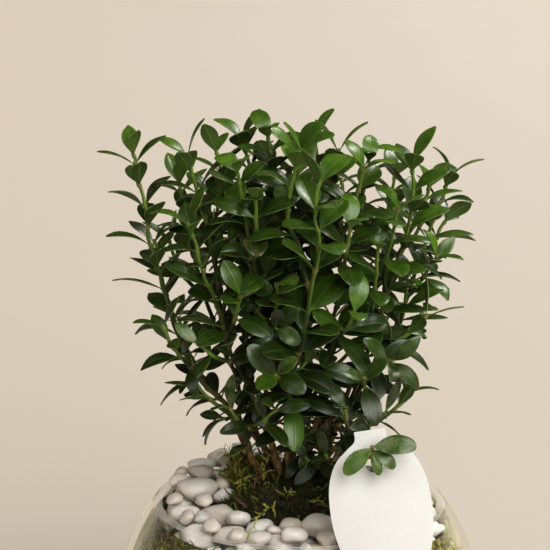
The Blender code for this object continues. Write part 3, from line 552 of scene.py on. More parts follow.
def pebbles():
    rng = random.Random(23)
    patterns = [stone_pattern(i) for i in range(12)]
    bm = bmesh.new()
    for middle, half in STONES:
        turn = Matrix.Rotation(any_turn(rng), 4, "Z") @ Matrix.Rotation(rng.gauss(0, 0.28), 4, "X")
        place = Matrix.Translation(middle) @ turn @ Matrix.Diagonal((*half, 1))
        gather(bm, rng.choice(patterns), place, (rng.random(), rng.random(), 0))
    return bm


stone = new_finish("pale_stone", roughness=0.42, subsurface_weight=0.08, subsurface_scale=0.002)
tone, warmth, _ = stone.attribute("kind")
spots = stone.mottled(150.0, 0.35, 0.0005)
white = stone.blend(warmth, (0.84, 0.805, 0.765), (0.66, 0.585, 0.485))
grey = stone.blend(warmth, (0.42, 0.40, 0.39), (0.55, 0.47, 0.37))
colour = stone.blend(stone.ramp(tone, 0.6, 0.98), white, grey)
stone.set(base_color=stone.layered(colour, (spots["Patches"], 0.3, (0.62, 0.60, 0.575))),
          normal=spots["Normal"])
add_piece("tumbled_pebbles", pebbles(), [stone], "pebbles", sharp=180.0)

# %% [markdown]
# ## Moss
#
# Moss is thousands of tiny pointed leaves on short stems. A star of tapering blades is the
# pattern for the close turf, and a bent stem with leaflets on both sides is the pattern for the
# longer feathery sprigs. Copies of both are set over a lumpy mound and pressed against the glass
# as the lining. Each copy carries a tone and a brightness that is painted darker towards its
# foot, so one shader gives bright tips and dark hollows, which are painted shade.

# %% Moss patterns
# The feet of the moss copies are painted darker than their tips: painted shade.
SHADED_FOOT_BRIGHTNESS = 0.2  # of the brightness at the tips
STAR_LEAVES = 6
STAR_LENGTH = 5.5
STAR_SPREAD = 1.25
SPRIG_PAIRS = 11
SPRIG_SHAPES = ((9, 0.9), (12, 1.3), (11, 0.6), (14, 1.7), (10, 1.1))  # length and bend


def add_moss_leaf(bm, foot, length, width, lean, turn):
    """One pointed leaf of moss: a slim three-sided cone with its foot at a point."""
    made = bmesh.ops.create_cone(bm, cap_ends=True, segments=3, radius1=width / 2, radius2=0.0,
                                 depth=length)["verts"]
    stand = Matrix.Rotation(turn, 4, "Z") @ Matrix.Rotation(lean, 4, "X")
    place = Matrix.Translation(foot) @ stand @ Matrix.Translation((0, 0, length / 2))
    bmesh.ops.transform(bm, matrix=place, verts=made)


def pattern_mesh(name, bm):
    """The finished pattern and how bright each of its vertices is, painted dark at the foot as
    shade.
    """
    bmesh.ops.remove_doubles(bm, verts=bm.verts, dist=1e-4)
    top = max(vert.co.z for vert in bm.verts)
    tips = [between((SHADED_FOOT_BRIGHTNESS, 1.0), max(0.0, vert.co.z / top)) for vert in bm.verts]
    return mesh_of(bm, name), tips


def moss_star(seed):
    rng = random.Random(seed)
    bm = bmesh.new()
    for i in range(STAR_LEAVES):
        turn = math.tau * (i + rng.uniform(-0.3, 0.3)) / STAR_LEAVES
        add_moss_leaf(bm, (0, 0, 0), STAR_LENGTH * rng.uniform(0.7, 1.2), 0.75,
                      rng.uniform(0.25, 1.0) * STAR_SPREAD, turn)
    return pattern_mesh("moss_star", bm)


def moss_sprig(length, bend, seed):
    """A feathery sprig that stands straight up and then leans over."""
    rng = random.Random(seed)
    bm = bmesh.new()
    bmesh.ops.create_cone(bm, cap_ends=True, segments=3, radius1=0.3, radius2=0.12, depth=length,
                          matrix=Matrix.Translation((0, 0, length / 2)))
    long_edges = [edge for edge in bm.edges if abs(edge.verts[0].co.z - edge.verts[1].co.z) > 1]
    bmesh.ops.subdivide_edges(bm, edges=long_edges, cuts=6)
    for i in range(2 * SPRIG_PAIRS + 1):
        share = 0.12 + 0.88 * i / (2 * SPRIG_PAIRS)
        turn = math.pi * i + rng.uniform(-0.9, 0.9)
        lean = 0.95 * (1 - 0.6 * share) * rng.uniform(0.7, 1.2)
        add_moss_leaf(bm, (0, 0, length * share), 2.8 * (1.15 - 0.5 * share), 0.72, lean, turn)
    mesh, tips = pattern_mesh("moss_sprig", bm)
    arm = length / bend
    for vert in mesh.vertices:
        turn = bend * vert.co.z / length
        vert.co = (arm * (1 - math.cos(turn)) + vert.co.x * math.cos(turn), vert.co.y,
                   arm * math.sin(turn) - vert.co.x * math.sin(turn))
    return mesh, tips


def set_on(point, normal, turn, size):
    """The matrix that stands a pattern on a surface."""
    stand = normal.to_track_quat("Z", "Y").to_matrix().to_4x4()
    return Matrix.Translation(point) @ stand @ Matrix.Rotation(turn, 4, "Z") @ Matrix.Scale(size, 4)


def moss_kind(rng, bright, spread=0.15, odd=0.02):
    """(tone, brightness, 1 for the odd dry or purple one) of one copy."""
    return rng.random(), clamp(bright + rng.gauss(0, spread)), float(rng.random() < odd)


STARS = [moss_star(seed) for seed in range(6)]
SPRIGS = [moss_sprig(*shape, seed) for seed, shape in enumerate(SPRIG_SHAPES)]
print("moss patterns of", [len(mesh.polygons) for mesh, _ in STARS + SPRIGS], "faces")

moss = new_finish("green_moss", roughness=0.75, subsurface_weight=0.1, subsurface_scale=0.002)
tone, bright, odd = moss.attribute("kind")
spots = moss.mottled(160.0, 0.5, 0.001)
dark = moss.blend(tone, (0.006, 0.009, 0.001), (0.034, 0.043, 0.005))
light = moss.blend(tone, (0.19, 0.20, 0.020), (0.54, 0.53, 0.085))
dry = moss.blend(tone, (0.24, 0.105, 0.045), (0.13, 0.07, 0.13))
colour = moss.blend(odd, moss.blend(bright, dark, light), dry)
moss.set(base_color=moss.layered(colour, (spots["Grain"], 0.3, (0.01, 0.014, 0.003))),
         normal=spots["Normal"])

# %% Moss bed
MOSS_STARS = 3300
MOSS_SPRIGS = 330
TUFT_SPRIGS = 260
TUFT_SPREAD = (6.5, 7.5)  # along X and Y
MOSS_SHOULDER = 30.0  # distance from the axis at which the bed starts to fall off
MOSS_LEAN = (0.006, 0.022)  # how much the moss leans out per millimetre, inside it and beyond
MOSS_ROOT = 0.6  # depth under the surface at which a copy stands
LUMP = 2.6
# Long branched sprigs of running moss: foot, tip and tone
LONG_SPRIGS = (
    ((-14, -32, 170), (-31, -78, 167), 0.9),
    ((-22, -18, 174), (-19, -26, 200), 0.8),
    ((-31, -14, 174), (-36, -30, 184), 0.6),
    ((-8, -30, 168), (-6, -44, 182), 0.6),
    ((6, -30, 168), (14, -48, 176), 0.5),
    ((-36, 8, 180), (-48, -4, 194), 0.9),
    ((18, 28, 172), (30, 48, 180), 0.7),
    ((-12, 36, 170), (-16, 58, 178), 0.6),
)
DRY_STALKS = (((-29, -20, 166), (-25, -11, 189)), ((-5, -36, 166), (-4, -38, 176)),
              ((-38, 16, 182), (-46, 24, 192)), ((24, 20, 170), (33, 26, 190)),
              ((2, 34, 170), (6, 40, 188)))
STALK_LENGTH = 26
STALK_ARMS = ((0, STALK_LENGTH, 1.7, 0, 0), (9, 9, 1.2, 0.6, 1), (16, 7, 1.1, 0.7, 4))


def moss_brightness(x, y):
    """How yellow-green the moss is: most in the tuft at the left, whose fresh colour is also
    painted lighter there as painted light against the bush's shade.
    """
    near = math.exp(-((Vector((x, y)) - MOSS_TUFT).length / (1.4 * MOSS_TUFT_RADIUS)) ** 2)
    patches = noise.noise(Vector((x * 0.06, y * 0.06, 3.0)))
    return clamp(1.3 * near + 0.35 * patches + 0.04)


def lumpy_height(x, y):
    """The moss bed's height with its lumps."""
    rough = noise.noise(Vector((x, y, 0)) * 0.11) + 0.5 * noise.noise(Vector((x, y, 9)) * 0.3)
    return moss_height(x, y) - 1.5 + LUMP * rough


def add_long_sprig(bm, foot, tip, tone, rng):
    """Short sprigs one after another, leaning to both sides of an arched line."""
    along = (tip - foot).normalized()
    side = along.cross(Vector((0, 0, 1))).normalized()
    count = round((tip - foot).length / 2.4)
    for i in range(count):
        share = i / (count - 1)
        point = foot.lerp(tip, share) + Vector((0, 0, 4.0 * math.sin(math.pi * share)))
        lean = rng.gauss(0, 0.7) if share < 0.85 else 0.0
        rise = 0.5 * math.cos(math.pi * share) + rng.gauss(0, 0.2)
        normal = along + side * lean + Vector((0, 0, rise))
        pattern = rng.choice(SPRIGS)
        place = set_on(point, normal, any_turn(rng), 0.62 - 0.25 * share)
        gather(bm, pattern[0], place, (tone, rng.uniform(0.8, 1.0), 0.0))


def dry_stalk():
    """A thin dry twig with two short arms."""
    bm = bmesh.new()
    for height, length, width, lean, turn in STALK_ARMS:
        add_moss_leaf(bm, (0, 0, height), length, width, lean, turn)
    return pattern_mesh("dry_stalk", bm)


def moss_mound():
    """The ground of the bed: a turned disc whose top is lifted to the lumpy surface."""
    low, high = SOIL_TOP_Z + GAP, RIM_Z + 9
    rings = [(MOSS_RADIUS * (1 - i / 24), high) for i in range(1, 24)]
    foot = [(0, low), (MOSS_RADIUS - 3.0, low), (MOSS_RADIUS, low + 1.5)]
    bm = turned([*foot, *rings, (0, high)], 96)
    kind = bm.verts.layers.float_vector.new("kind")
    for vert in bm.verts:
        if vert.co.z > RIM_Z:
            vert.co.z = lumpy_height(vert.co.x, vert.co.y)
        # The mound under the copies is painted darker than they are: painted shade.
        vert[kind] = Vector((0.3, 0.5 * moss_brightness(vert.co.x, vert.co.y) ** 2, 0))
    return bm


def moss_bed():
    bm = moss_mound()
    rng = random.Random(31)
    for i in range(MOSS_STARS + MOSS_SPRIGS + TUFT_SPRIGS):
        turn, distance = any_turn(rng), (MOSS_RADIUS + 1.5) * math.sqrt(rng.random())
        x, y = polar(distance, turn)
        if i >= MOSS_STARS + MOSS_SPRIGS:
            x = MOSS_TUFT.x + rng.gauss(0, TUFT_SPREAD[0])
            y = MOSS_TUFT.y + rng.gauss(0, TUFT_SPREAD[1])
        slope = Vector((x, y, 0)) * MOSS_LEAN[distance >= MOSS_SHOULDER]
        loose = 0.3 if i < MOSS_STARS else 0.45
        lean = Vector((rng.gauss(0, loose), rng.gauss(0, loose), 0))
        normal = (Vector((0, 0, 1)) + slope + lean).normalized()
        bright = moss_brightness(x, y)
        size = rng.uniform(0.6, 1.15) * (0.8 + 0.35 * bright)
        pattern, kind = rng.choice(STARS), moss_kind(rng, bright * 0.85)
        if i >= MOSS_STARS:
            pattern = rng.choice(SPRIGS)
            kind = moss_kind(rng, bright + 0.12, 0.3, 0.05 + 0.13 * bright)
        point = Vector((x, y, lumpy_height(x, y) - MOSS_ROOT))
        if not in_a_stone(point, 1.0):
            gather(bm, pattern[0], set_on(point, normal, any_turn(rng), size), kind, pattern[1])
    for foot, tip, tone in LONG_SPRIGS:
        add_long_sprig(bm, Vector(foot), Vector(tip), tone, rng)
    stalk = dry_stalk()[0]
    for foot, tip in DRY_STALKS:
        out = Vector(tip) - Vector(foot)
        place = set_on(Vector(foot), out, any_turn(rng), out.length / STALK_LENGTH)
        gather(bm, stalk, place, (0.1, 1.0, 1.0))
    return bm


add_piece("moss_cushion", moss_bed(), [moss], "moss_bed")

# %% [markdown]
# The lining is the same moss packed against the inside of the glass, with bark crumbs and a few
# purple bits in it. Its shell sinks and swells and has a finish of crushed leaflets, which are
# cells of a Voronoi pattern pulled out of shape, with painted shade in the gaps between them.
# Towards the right, where the key lamp falls, it is painted lighter and greener with fewer
# withered patches: painted light. Flat stars and sprigs lie on it, and what would reach through
# the glass is pressed flat against it.

# %% Packed moss
packed = new_finish("packed_moss", roughness=0.8)
place = packed.place()
pull = packed.node("ShaderNodeTexNoise", {"Vector": place, "Scale": 160.0, "Detail": 2.0})["Color"]
pulled = packed.node("ShaderNodeVectorMath", {0: pull, 1: (0.012, 0.012, 0.012), 2: place},
                     operation="MULTIPLY_ADD")[0]
flakes = packed.node("ShaderNodeTexVoronoi", {"Vector": pulled, "Scale": 380.0})
cell = packed.node("ShaderNodeSeparateColor", {0: flakes["Color"]})
spots = packed.mottled(38.0, 0.5, 0.002)
# Painted light: towards +X, where the key lamp falls, the packed moss is painted lighter and
# greener, with fewer withered patches.
painted_light_side = packed.ramp(packed.parts(place)["X"], -0.08, 0.09)
fresh = packed.blend(cell["Red"], (0.045, 0.055, 0.006), (0.34, 0.33, 0.040))
fresh = packed.layered(fresh, (painted_light_side, 0.75, (0.50, 0.48, 0.10)))
withered = packed.blend(cell["Red"], (0.040, 0.026, 0.010), (0.27, 0.17, 0.070))
dead = packed.ramp(packed.plus(spots["Patches"], packed.times(painted_light_side, -0.35)), 0.35, 0.8)
# Painted shade darkens the gaps between the crushed leaflets; the same gaps give the relief.
hollow = packed.ramp(flakes["Distance"], 0.25, 0.75)
purple = packed.ramp(cell["Green"], 0.94, 0.96)
packed.set(base_color=packed.layered(fresh, (dead, 0.85, withered),
                                     (purple, 1.0, (0.15, 0.08, 0.16)),
                                     (hollow, 0.85, (0.008, 0.009, 0.003))),
           normal=packed.bump(0.7, 0.0015, packed.maths("SUBTRACT", 1.0, hollow), spots["Normal"]))

# %% Moss lining
LINING_EDGE_LATITUDE = 34.5  # the moss stands up a little along the glass
LINING_DIP = 4.5  # degrees lower at the right, where stones show through the glass
LINING_DIP_BEARING = -8
LINING_DIP_SPREAD = 26
LINING_STARS = 2600
LINING_SPRIGS = 640
LOOSE_SPRIGS = 0.7  # of them lie anywhere, and the rest along the edge
LINING_ROOT = 2.6  # depth behind the glass at which a copy stands
EDGE_BAND = 0.05  # of the sphere's radius in height, where the edge's own sprigs stand
UPRIGHT_BAND = 0.06  # where all sprigs stand upright
LINING_OUTSIDE = BOWL_INSIDE - GAP
LINING_LOW = BOWL_FLOOR + GAP


def lining_edge(turn):
    """The latitude of the moss's edge on the glass at a bearing in radians."""
    off = (math.degrees(turn) - LINING_DIP_BEARING + 180) % 360 - 180
    return LINING_EDGE_LATITUDE - LINING_DIP * math.exp(-(off / LINING_DIP_SPREAD) ** 2)


def lining_shell():
    """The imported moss: a turned shell with an uneven outside and a dipping edge."""
    full = LINING_OUTSIDE - 1.0
    outer = arc(full, latitude_of(full, LINING_LOW + 0.5), LINING_EDGE_LATITUDE)
    hollow = LINING_OUTSIDE - LINING_THICKNESS
    inner = arc(hollow, latitude_of(hollow, LINING_LOW + LINING_THICKNESS), LINING_TOP_LATITUDE, 10)
    floor = LINING_LOW + LINING_THICKNESS
    bm = turned([(0, LINING_LOW), *outer, *reversed(inner), (0, floor)], 128)
    kind = bm.verts.layers.float_vector.new("kind")
    for vert in bm.verts:
        off = vert.co - BOWL_CENTRE
        latitude = math.degrees(math.atan2(off.z, math.hypot(off.x, off.y)))
        if latitude > LINING_TOP_LATITUDE + 0.1:
            share = (latitude - LINING_TOP_LATITUDE) / (LINING_EDGE_LATITUDE - LINING_TOP_LATITUDE)
            turn = math.atan2(off.y, off.x)
            latitude = math.radians(between((LINING_TOP_LATITUDE, lining_edge(turn)), share))
            flat = off.length * math.cos(latitude)
            vert.co = BOWL_CENTRE + Vector((*polar(flat, turn), off.length * math.sin(latitude)))
            off = vert.co - BOWL_CENTRE
        if off.length > LINING_OUTSIDE - 2 and vert.co.z > LINING_LOW + 2:
            vert.co -= off.normalized() * (1.8 + 1.6 * noise.noise(vert.co * 0.13))
        vert[kind] = Vector((0.5, 0.2, 0))
    for face in bm.faces:
        face.material_index = 1
    return bm


def moss_lining():
    bm = lining_shell()
    rng = random.Random(41)
    lowest = math.sin(math.radians(latitude_of(LINING_OUTSIDE, LINING_LOW + 3)))
    for i in range(LINING_STARS + LINING_SPRIGS):
        turn, share = any_turn(rng), rng.random()
        highest = math.sin(math.radians(lining_edge(turn) - 1))
        height = between((lowest, highest), share)
        if i >= LINING_STARS + LINING_SPRIGS * LOOSE_SPRIGS:
            height = highest - rng.uniform(0.0, EDGE_BAND)
        out = Vector((*polar(math.sqrt(1 - height * height), turn), height))
        point = BOWL_CENTRE + out * (LINING_OUTSIDE - LINING_ROOT)
        # Towards +X, where the key lamp falls, the copies are painted brighter with fewer dry and
        # purple bits: painted light, with random patches.
        bright = 0.5 + 0.5 * out.x + 0.75 * noise.noise(point * 0.06)
        if i < LINING_STARS:
            pattern, size = rng.choice(STARS), rng.uniform(0.45, 0.9)
            place = set_on(point, out, any_turn(rng), size)
        else:
            pattern, size = rng.choice(SPRIGS), rng.uniform(0.6, 1.0)
            side = out.cross(Vector([rng.gauss(0, 1) for _ in range(3)])).normalized()
            if height > highest - UPRIGHT_BAND:
                side = Vector((rng.gauss(0, 0.3), rng.gauss(0, 0.3), 1.0))
            place = set_on(point, side + out * 0.25, any_turn(rng), size)
        if not in_a_stone(point, 1.5):
            kind = moss_kind(rng, bright, 0.3, 0.2 - 0.12 * out.x)
            gather(bm, pattern[0], place, kind, pattern[1])
    for vert in bm.verts:
        off = vert.co - BOWL_CENTRE
        if off.length > LINING_OUTSIDE:
            vert.co = BOWL_CENTRE + off.normalized() * LINING_OUTSIDE
    return bm


add_piece("moss_behind_glass", moss_lining(), [moss, packed], "moss_lining")

# %% [markdown]
# ## Where the stems run
#
# The bush fans out of one stump. Each stem is a smooth line through a few measured points, first
# brown wood and then a green shoot, with side shoots on it. The same tables and the same rule
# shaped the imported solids, so the finer stems and leaves made here lie exactly over them.

# %% Stem tables
STUMP_CENTRE = Vector((-3.0, 0.0))
STUMP_RADII = (9.0, 12.0, 9.5)
STUMP_LEVELS = (132.0, 148.0, 167.0)
STUMP_SIDES = 8
TUBE_SIDES = 6  # of the plain tubes for trying room
WOOD_STEP = 18.0
TWIG_STEP = 10.0
SPUR_STEP = 6.0
SHOOT_RADII = (1.25, 0.8)


def rows(text):
    """The rows of a table: names, two numbers and, after the colon, points."""
    table = []
    for line in text.replace(",\n", ",").strip().splitlines():
        words, points = line.split(":")
        *names, first, second = words.split()
        points = [tuple(float(part) for part in point.split()) for point in points.split(",")]
        table.append((*names, float(first), float(second), points))
    return table


# Woody stems: name, the stem it grows from, radius at each end, and points from the foot out
WOOD = rows("""
left_outer - 2.5 1.6: -8 0 154, -17 -1 173, -30 -4 192, -38 -8 212
left_inner - 3.0 1.8: -6 -2 154, -11 -4 178, -17 -9 202, -23 -14 219
front_centre - 2.4 1.6: -3 -4 154, -5 -9 180, -8 -15 204
centre_left left_inner 2.0 1.6: -17 -9 202, -19 -5 222
top_centre - 2.6 1.7: -3 2 154, -6 5 180, -8 9 210
right_centre - 2.8 1.7: 0 -3 154, 4 -5 184, 9 -8 210
right_low right_centre 1.9 1.6: 8 -7 202, 16 -12 215
right_top - 2.7 1.7: 2 1 154, 9 4 178, 19 7 200, 26 8 214
right_outer right_top 2.1 1.6: 18 7 198, 28 17 212
low_right right_centre 1.8 1.5: 3 -5 178, 11 -13 188, 18 -18 197
low_left left_outer 1.8 1.5: -28 -4 190, -30 -14 200
back_left - 2.5 1.7: -6 4 154, -13 10 176, -25 22 196, -30 27 206
side_left back_left 1.8 1.5: -22 19 191, -34 22 204
back_middle - 2.4 1.7: -2 5 154, -3 14 178, -5 30 200, -6 36 210
low_back back_middle 1.8 1.5: -4 26 194, 4 35 205
back_right - 2.4 1.7: 2 4 154, 10 12 178, 21 27 198, 26 34 208
tag_twig low_right 1.6 1.4: 11 -13 188, 17 -25 195, 22 -37 201
""")

# Green shoots: spray, bearing of the first pair of leaves (0 right, 90 back), leaf length and
# points. The first shoot of a spray goes on from its woody stem, the others grow from it.
SHOOTS = rows("""
left_outer 20 25: -48 -10 230, -62 -12 246, -69 -12 261, -75 -12 279, -82 -10 301, -88 -8 322,
    -91 -6 343, -96 -4 364, -99 -2 380
left_outer 60 23: -69 -12 261, -78 4 282, -84 14 302, -88 20 322
left_outer 110 22: -63 -12 248, -69 -24 258, -76 -34 270, -81 -38 284
left_inner 10 25: -30 -18 239, -37 -20 254, -43 -24 269, -48 -28 289, -55 -30 310, -60 -32 326,
    -66 -33 345
left_inner 80 25: -46 -26 282, -48 -16 304, -52 -12 323, -58 -8 348, -63 -6 364, -67 -4 380
left_inner 40 23: -44 -25 271, -38 -38 288, -35 -48 306
left_inner 0 22: -38 -21 256, -50 -34 263, -60 -42 274
centre_left 30 24: -21 -8 240, -21 -12 255, -22 -14 268, -25 -20 300, -28 -24 326, -32 -26 346,
    -37 -26 374
centre_left 75 23: -25 -20 300, -36 -6 322, -44 6 350, -50 14 378
centre_left 0 23: -27 -23 318, -26 -36 338, -26 -42 362
centre_left 50 23: -22 -14 268, -15 -30 286, -14 -40 310
top_centre 15 24: -9 12 232, -9 12 250, -10 14 273, -12 16 316, -14 14 348, -17 10 375, -19 8 388
top_centre 70 23: -12 16 316, -22 24 342, -30 30 364, -35 33 383
top_centre 0 23: -12 16 326, -4 4 346, -1 -8 366, -2 -12 384
top_centre 40 23: -10 14 273, 6 18 300, 12 18 330, 12 18 358, 9 18 384
front_centre 35 26: -6 -24 230, -6 -30 246, -2 -38 262, 3 -46 286, 7 -50 311, 11 -52 336,
    9 -54 354, 11 -54 374
front_centre 5 22: 6 -49 305, 0 -46 328, -7 -44 352, -4 -42 374, 1 -40 390
front_centre 45 23: -6 -30 244, -12 -42 252, -14 -54 258
right_centre 0 25: 14 -10 228, 17 -12 243, 20 -18 270, 23 -18 300, 24 -13 335, 24 -7 358, 23 0 382
right_centre 60 24: 24 -14 330, 31 -21 350, 38 -23 376
right_centre 90 25: 20 -18 268, 27 -34 280, 32 -46 294
right_centre 20 24: 23 -18 300, 26 -32 320, 29 -40 344
right_top 10 26: 34 9 230, 42 7 256, 52 2 289, 60 0 317, 66 -4 342, 67 -6 358, 66 -6 376
right_top 70 24: 52 2 289, 50 -12 310, 54 -20 330, 58 -24 352
right_top 30 24: 60 0 317, 70 10 334, 78 16 356
right_top 0 24: 44 6 262, 43 -13 284, 45 -27 308, 46 -33 330
right_outer 0 25: 41 28 230, 55 38 250, 66 44 278, 75 48 302, 82 50 324, 87 50 340, 93 50 356
right_outer 45 23: 66 44 278, 76 34 294, 84 26 310
right_outer 90 23: 75 48 302, 85 60 312, 92 68 323
right_outer 20 23: 57 39 253, 63 18 274, 65 8 298
right_low 0 25: 26 -13 224, 34 -12 232, 46 -14 256, 58 -14 266, 67 -12 273, 77 -10 283
right_low 60 24: 44 -14 252, 50 -28 258, 55 -40 262
right_low 20 23: 38 -13 240, 38 -32 246, 38 -46 254
right_low 90 22: 51 -14 260, 66 4 270, 76 12 280
low_right 30 23: 24 -22 206, 32 -27 214, 42 -34 221, 52 -38 231
low_right 80 23: 30 -26 212, 28 -38 224, 26 -46 236
low_right 0 21: 42 -34 221, 56 -28 228, 64 -22 238
low_left 60 22: -32 -22 210, -36 -28 222, -42 -34 232
low_left 15 22: -34 -25 216, -22 -38 224, -14 -46 234
low_left 0 22: -36 -28 222, -52 -22 232, -62 -22 243
back_left 20 24: -35 32 216, -42 40 236, -54 50 266, -64 58 296, -70 62 322, -74 64 348
back_left 70 23: -58 53 276, -72 46 294, -80 38 318
back_left 0 23: -60 55 286, -54 74 306, -50 82 330
back_left 45 23: -50 47 256, -44 34 290, -50 30 320, -56 30 350
back_middle 10 24: -7 43 222, -8 52 244, -8 62 274, -6 70 304, -4 72 332, -2 72 356
back_middle 60 23: -8 62 274, -24 74 294, -30 82 318
back_middle 90 23: -6 70 304, 14 74 320, 24 76 344
back_middle 30 23: -8 55 252, -2 40 280, -2 36 312, -14 38 342, -20 40 364
back_right 25 24: 31 41 220, 38 48 240, 46 60 270, 52 70 300, 56 76 326, 60 76 350
back_right 75 23: 46 60 270, 38 74 290, 36 85 310
back_right 0 23: 42 52 252, 34 36 280, 36 32 312, 38 28 346, 42 26 370
back_right 50 23: 51 68 294, 70 74 308, 80 76 326
side_left 80 22: -46 20 218, -58 20 234, -68 22 252, -74 26 272
low_back 0 22: 10 44 216, 15 53 228, 20 66 244, 22 76 258
low_back 45 21: 15 53 228, 28 61 235, 40 70 247
low_back 90 21: 13 49 222, 2 62 230, -12 74 244
""")

# Leaves that stand out by themselves: spray, foot, tip, the way the upper face looks, and width
SINGLE_LEAVES = (
    ("tag_twig", (41, -89, 225), (65, -97, 232), (0, -0.7, 0.7), 12),
    ("tag_twig", (41, -89, 225), (24, -98, 213), (-0.3, -0.9, 0.4), 11),
    ("tag_twig", (41, -87, 222), (46, -97, 212), (0.2, -0.9, 0.1), 6),
    ("tag_twig", (41, -87, 223), (55, -96, 218), (0.3, -0.8, 0.5), 8),
    ("front_centre", (-6, -26, 236), (1, -56, 217), (0.4, -0.9, 0.3), 13),
    ("right_centre", (20, -19, 274), (46, -44, 262), (0.3, -0.6, 0.7), 12),
)
print(len(WOOD), "stems and", len(SHOOTS), "shoots")

# %% [markdown]
# A stem is drawn through its points with a smooth curve. Path walks along that curve and tells the
# point and direction at any distance. Tube and loft make the plain shapes that are only used
# for trying whether a leaf has room.

# %% Paths along the stems
PATH_STEP = 1.0


def smooth_path(points, step):
    """Points about a step apart along a Catmull-Rom curve through the given ones."""
    ends = [points[0] * 2 - points[1], *points, points[-1] * 2 - points[-2]]
    fine = [points[0]]
    for a, b, c, d in zip(ends, ends[1:], ends[2:], ends[3:]):
        parts = max(2, math.ceil((c - b).length / step))
        for i in range(1, parts + 1):
            t = i / parts
            fine.append(0.5 * (2 * b + (c - a) * t + (2 * a - 5 * b + 4 * c - d) * t * t
                               + (3 * b - a - 3 * c + d) * t * t * t))
    return fine


class Path:
    """A smooth line that gives its point and direction at any distance from its foot."""

    def __init__(self, points):
        self.points = smooth_path([Vector(p) for p in points], PATH_STEP)
        steps = [(b - a).length for a, b in zip(self.points, self.points[1:])]
        self.marks = list(accumulate(steps, initial=0.0))
        self.length = self.marks[-1]

    def at(self, distance):
        i = bisect_left(self.marks, distance, 1, len(self.marks) - 1)
        a, b = self.points[i - 1], self.points[i]
        span = self.marks[i] - self.marks[i - 1]
        return a.lerp(b, (distance - self.marks[i - 1]) / span), (b - a).normalized()

    def nearest(self, point):
        """The distance from the foot at which the line passes closest to a point."""
        gaps = [(p - point).length for p in self.points]
        return self.marks[gaps.index(min(gaps))]

    def foot_near(self, point):
        """The point of the line that is closest to another."""
        return self.at(self.nearest(Vector(point)))[0]


def across(direction):
    """Two unit vectors square to a direction, the first as near to +X as it can be."""
    first = (Vector((1, 0, 0)) - direction * direction.x).normalized()
    return first, direction.cross(first)


def spoke(direction, turn):
    """The unit vector square to a direction at a turn round it."""
    right, back = across(direction)
    return right * math.cos(turn) + back * math.sin(turn)


def corner_turns(count):
    return [math.tau * k / count for k in range(count)]


def ring(path, distance, radius, sides):
    """Points round a path."""
    centre, direction = path.at(distance)
    right, back = across(direction)
    return [centre + right * radius * math.cos(a) + back * radius * math.sin(a)
            for a in corner_turns(sides)]


def loft(rings):
    """A closed skin over rings of points."""
    bm = bmesh.new()
    levels = [[bm.verts.new(point) for point in points] for points in rings]
    for low, high in zip(levels, levels[1:]):
        for i in range(len(low)):
            j = (i + 1) % len(low)
            bm.faces.new([low[i], low[j], high[j], high[i]])
    bm.faces.new(list(reversed(levels[0])))
    bm.faces.new(levels[-1])
    return bm


def tube(path, start, end, radii, sides, step, grow=0.0):
    """A plain tapering tube along part of a path."""
    parts = max(2, round((end - start) / step))
    shares = [i / parts for i in range(parts + 1)]
    return loft([ring(path, between((start, end), share), between(radii, share) + grow, sides)
                 for share in shares])


def stump(grow):
    rings = []
    for level, radius in zip(STUMP_LEVELS, STUMP_RADII):
        height = level + (grow if level == STUMP_LEVELS[-1] else 0.0)
        places = [polar(radius + grow, turn) for turn in corner_turns(STUMP_SIDES)]
        rings.append([(STUMP_CENTRE.x + x, STUMP_CENTRE.y + y, height) for x, y in places])
    return loft(rings)


# %% [markdown]
# ## Card tag
#
# The tag is a thick white card cut as a vase, hung by a round hole on the end of the lowest twig.
# It leans back until it rests on the bowl. Its outline is a smooth curve with flat top and foot.
# The card is cut with its hole in one piece, given its thickness, and its edges are eased a
# little, as a punch does.

# %% Where the tag hangs
TAG_THICKNESS = 0.8
TAG_HOLE_CENTRE = Vector((43.0, -79.0, 212.0))
TAG_HOLE_RADIUS = 5.5
TAG_HOLE_DROP = 19.5  # from the top edge
TAG_TILT = 8.5  # degrees, in its own plane
TAG_LEAN = (25.0, 0.05)  # degrees back to start from, and the step by which it comes upright
TAG_PROFILE = ((0.0, 9.2), (5.6, 9.8), (9.5, 14.6), (15.5, 21.6), (23.0, 26.0), (33.0, 28.8),
               (47.0, 29.6), (60.0, 28.4), (76.0, 24.6), (92.0, 19.6), (106.0, 16.2), (112.0, 16.0))
TWIG_RADII = (SHOOT_RADII[0], 1.1)
TWIG_BELOW_EDGE = 2.3  # its middle passes this far under the top of the hole, on a slant
TWIG_BEFORE_TAG = ((29, -53, 207), (37, -68, 212.5))
TWIG_BEYOND_TAG = ((41.5, -84.5, 219.5), (41.0, -89.5, 225.5))


def tag_outline(profile=TAG_PROFILE):
    """The vase shape round the hole's centre, as (x, z) pairs."""
    right = [(half, TAG_HOLE_DROP - drop) for drop, half in profile]
    return right + [(-x, z) for x, z in reversed(right)]


def tag_place():
    """The tag's matrix: a tilt in its plane and a lean back at which an edge rests on the bowl."""
    outline = [Vector((x, TAG_THICKNESS / 2, z)) for x, z in tag_outline()]
    edge = [a.lerp(b, k / 4) for a, b in zip(outline, outline[1:] + outline[:1]) for k in range(4)]
    tilt = Matrix.Rotation(-math.radians(TAG_TILT), 4, "Y")
    lean, step = TAG_LEAN
    while lean > 0:
        turn = Matrix.Rotation(-math.radians(lean), 4, "X") @ tilt
        place = Matrix.Translation(TAG_HOLE_CENTRE) @ turn
        if min((place @ point - BOWL_CENTRE).length for point in edge) < BOWL_RADIUS + GAP:
            break
        lean -= step
    return place


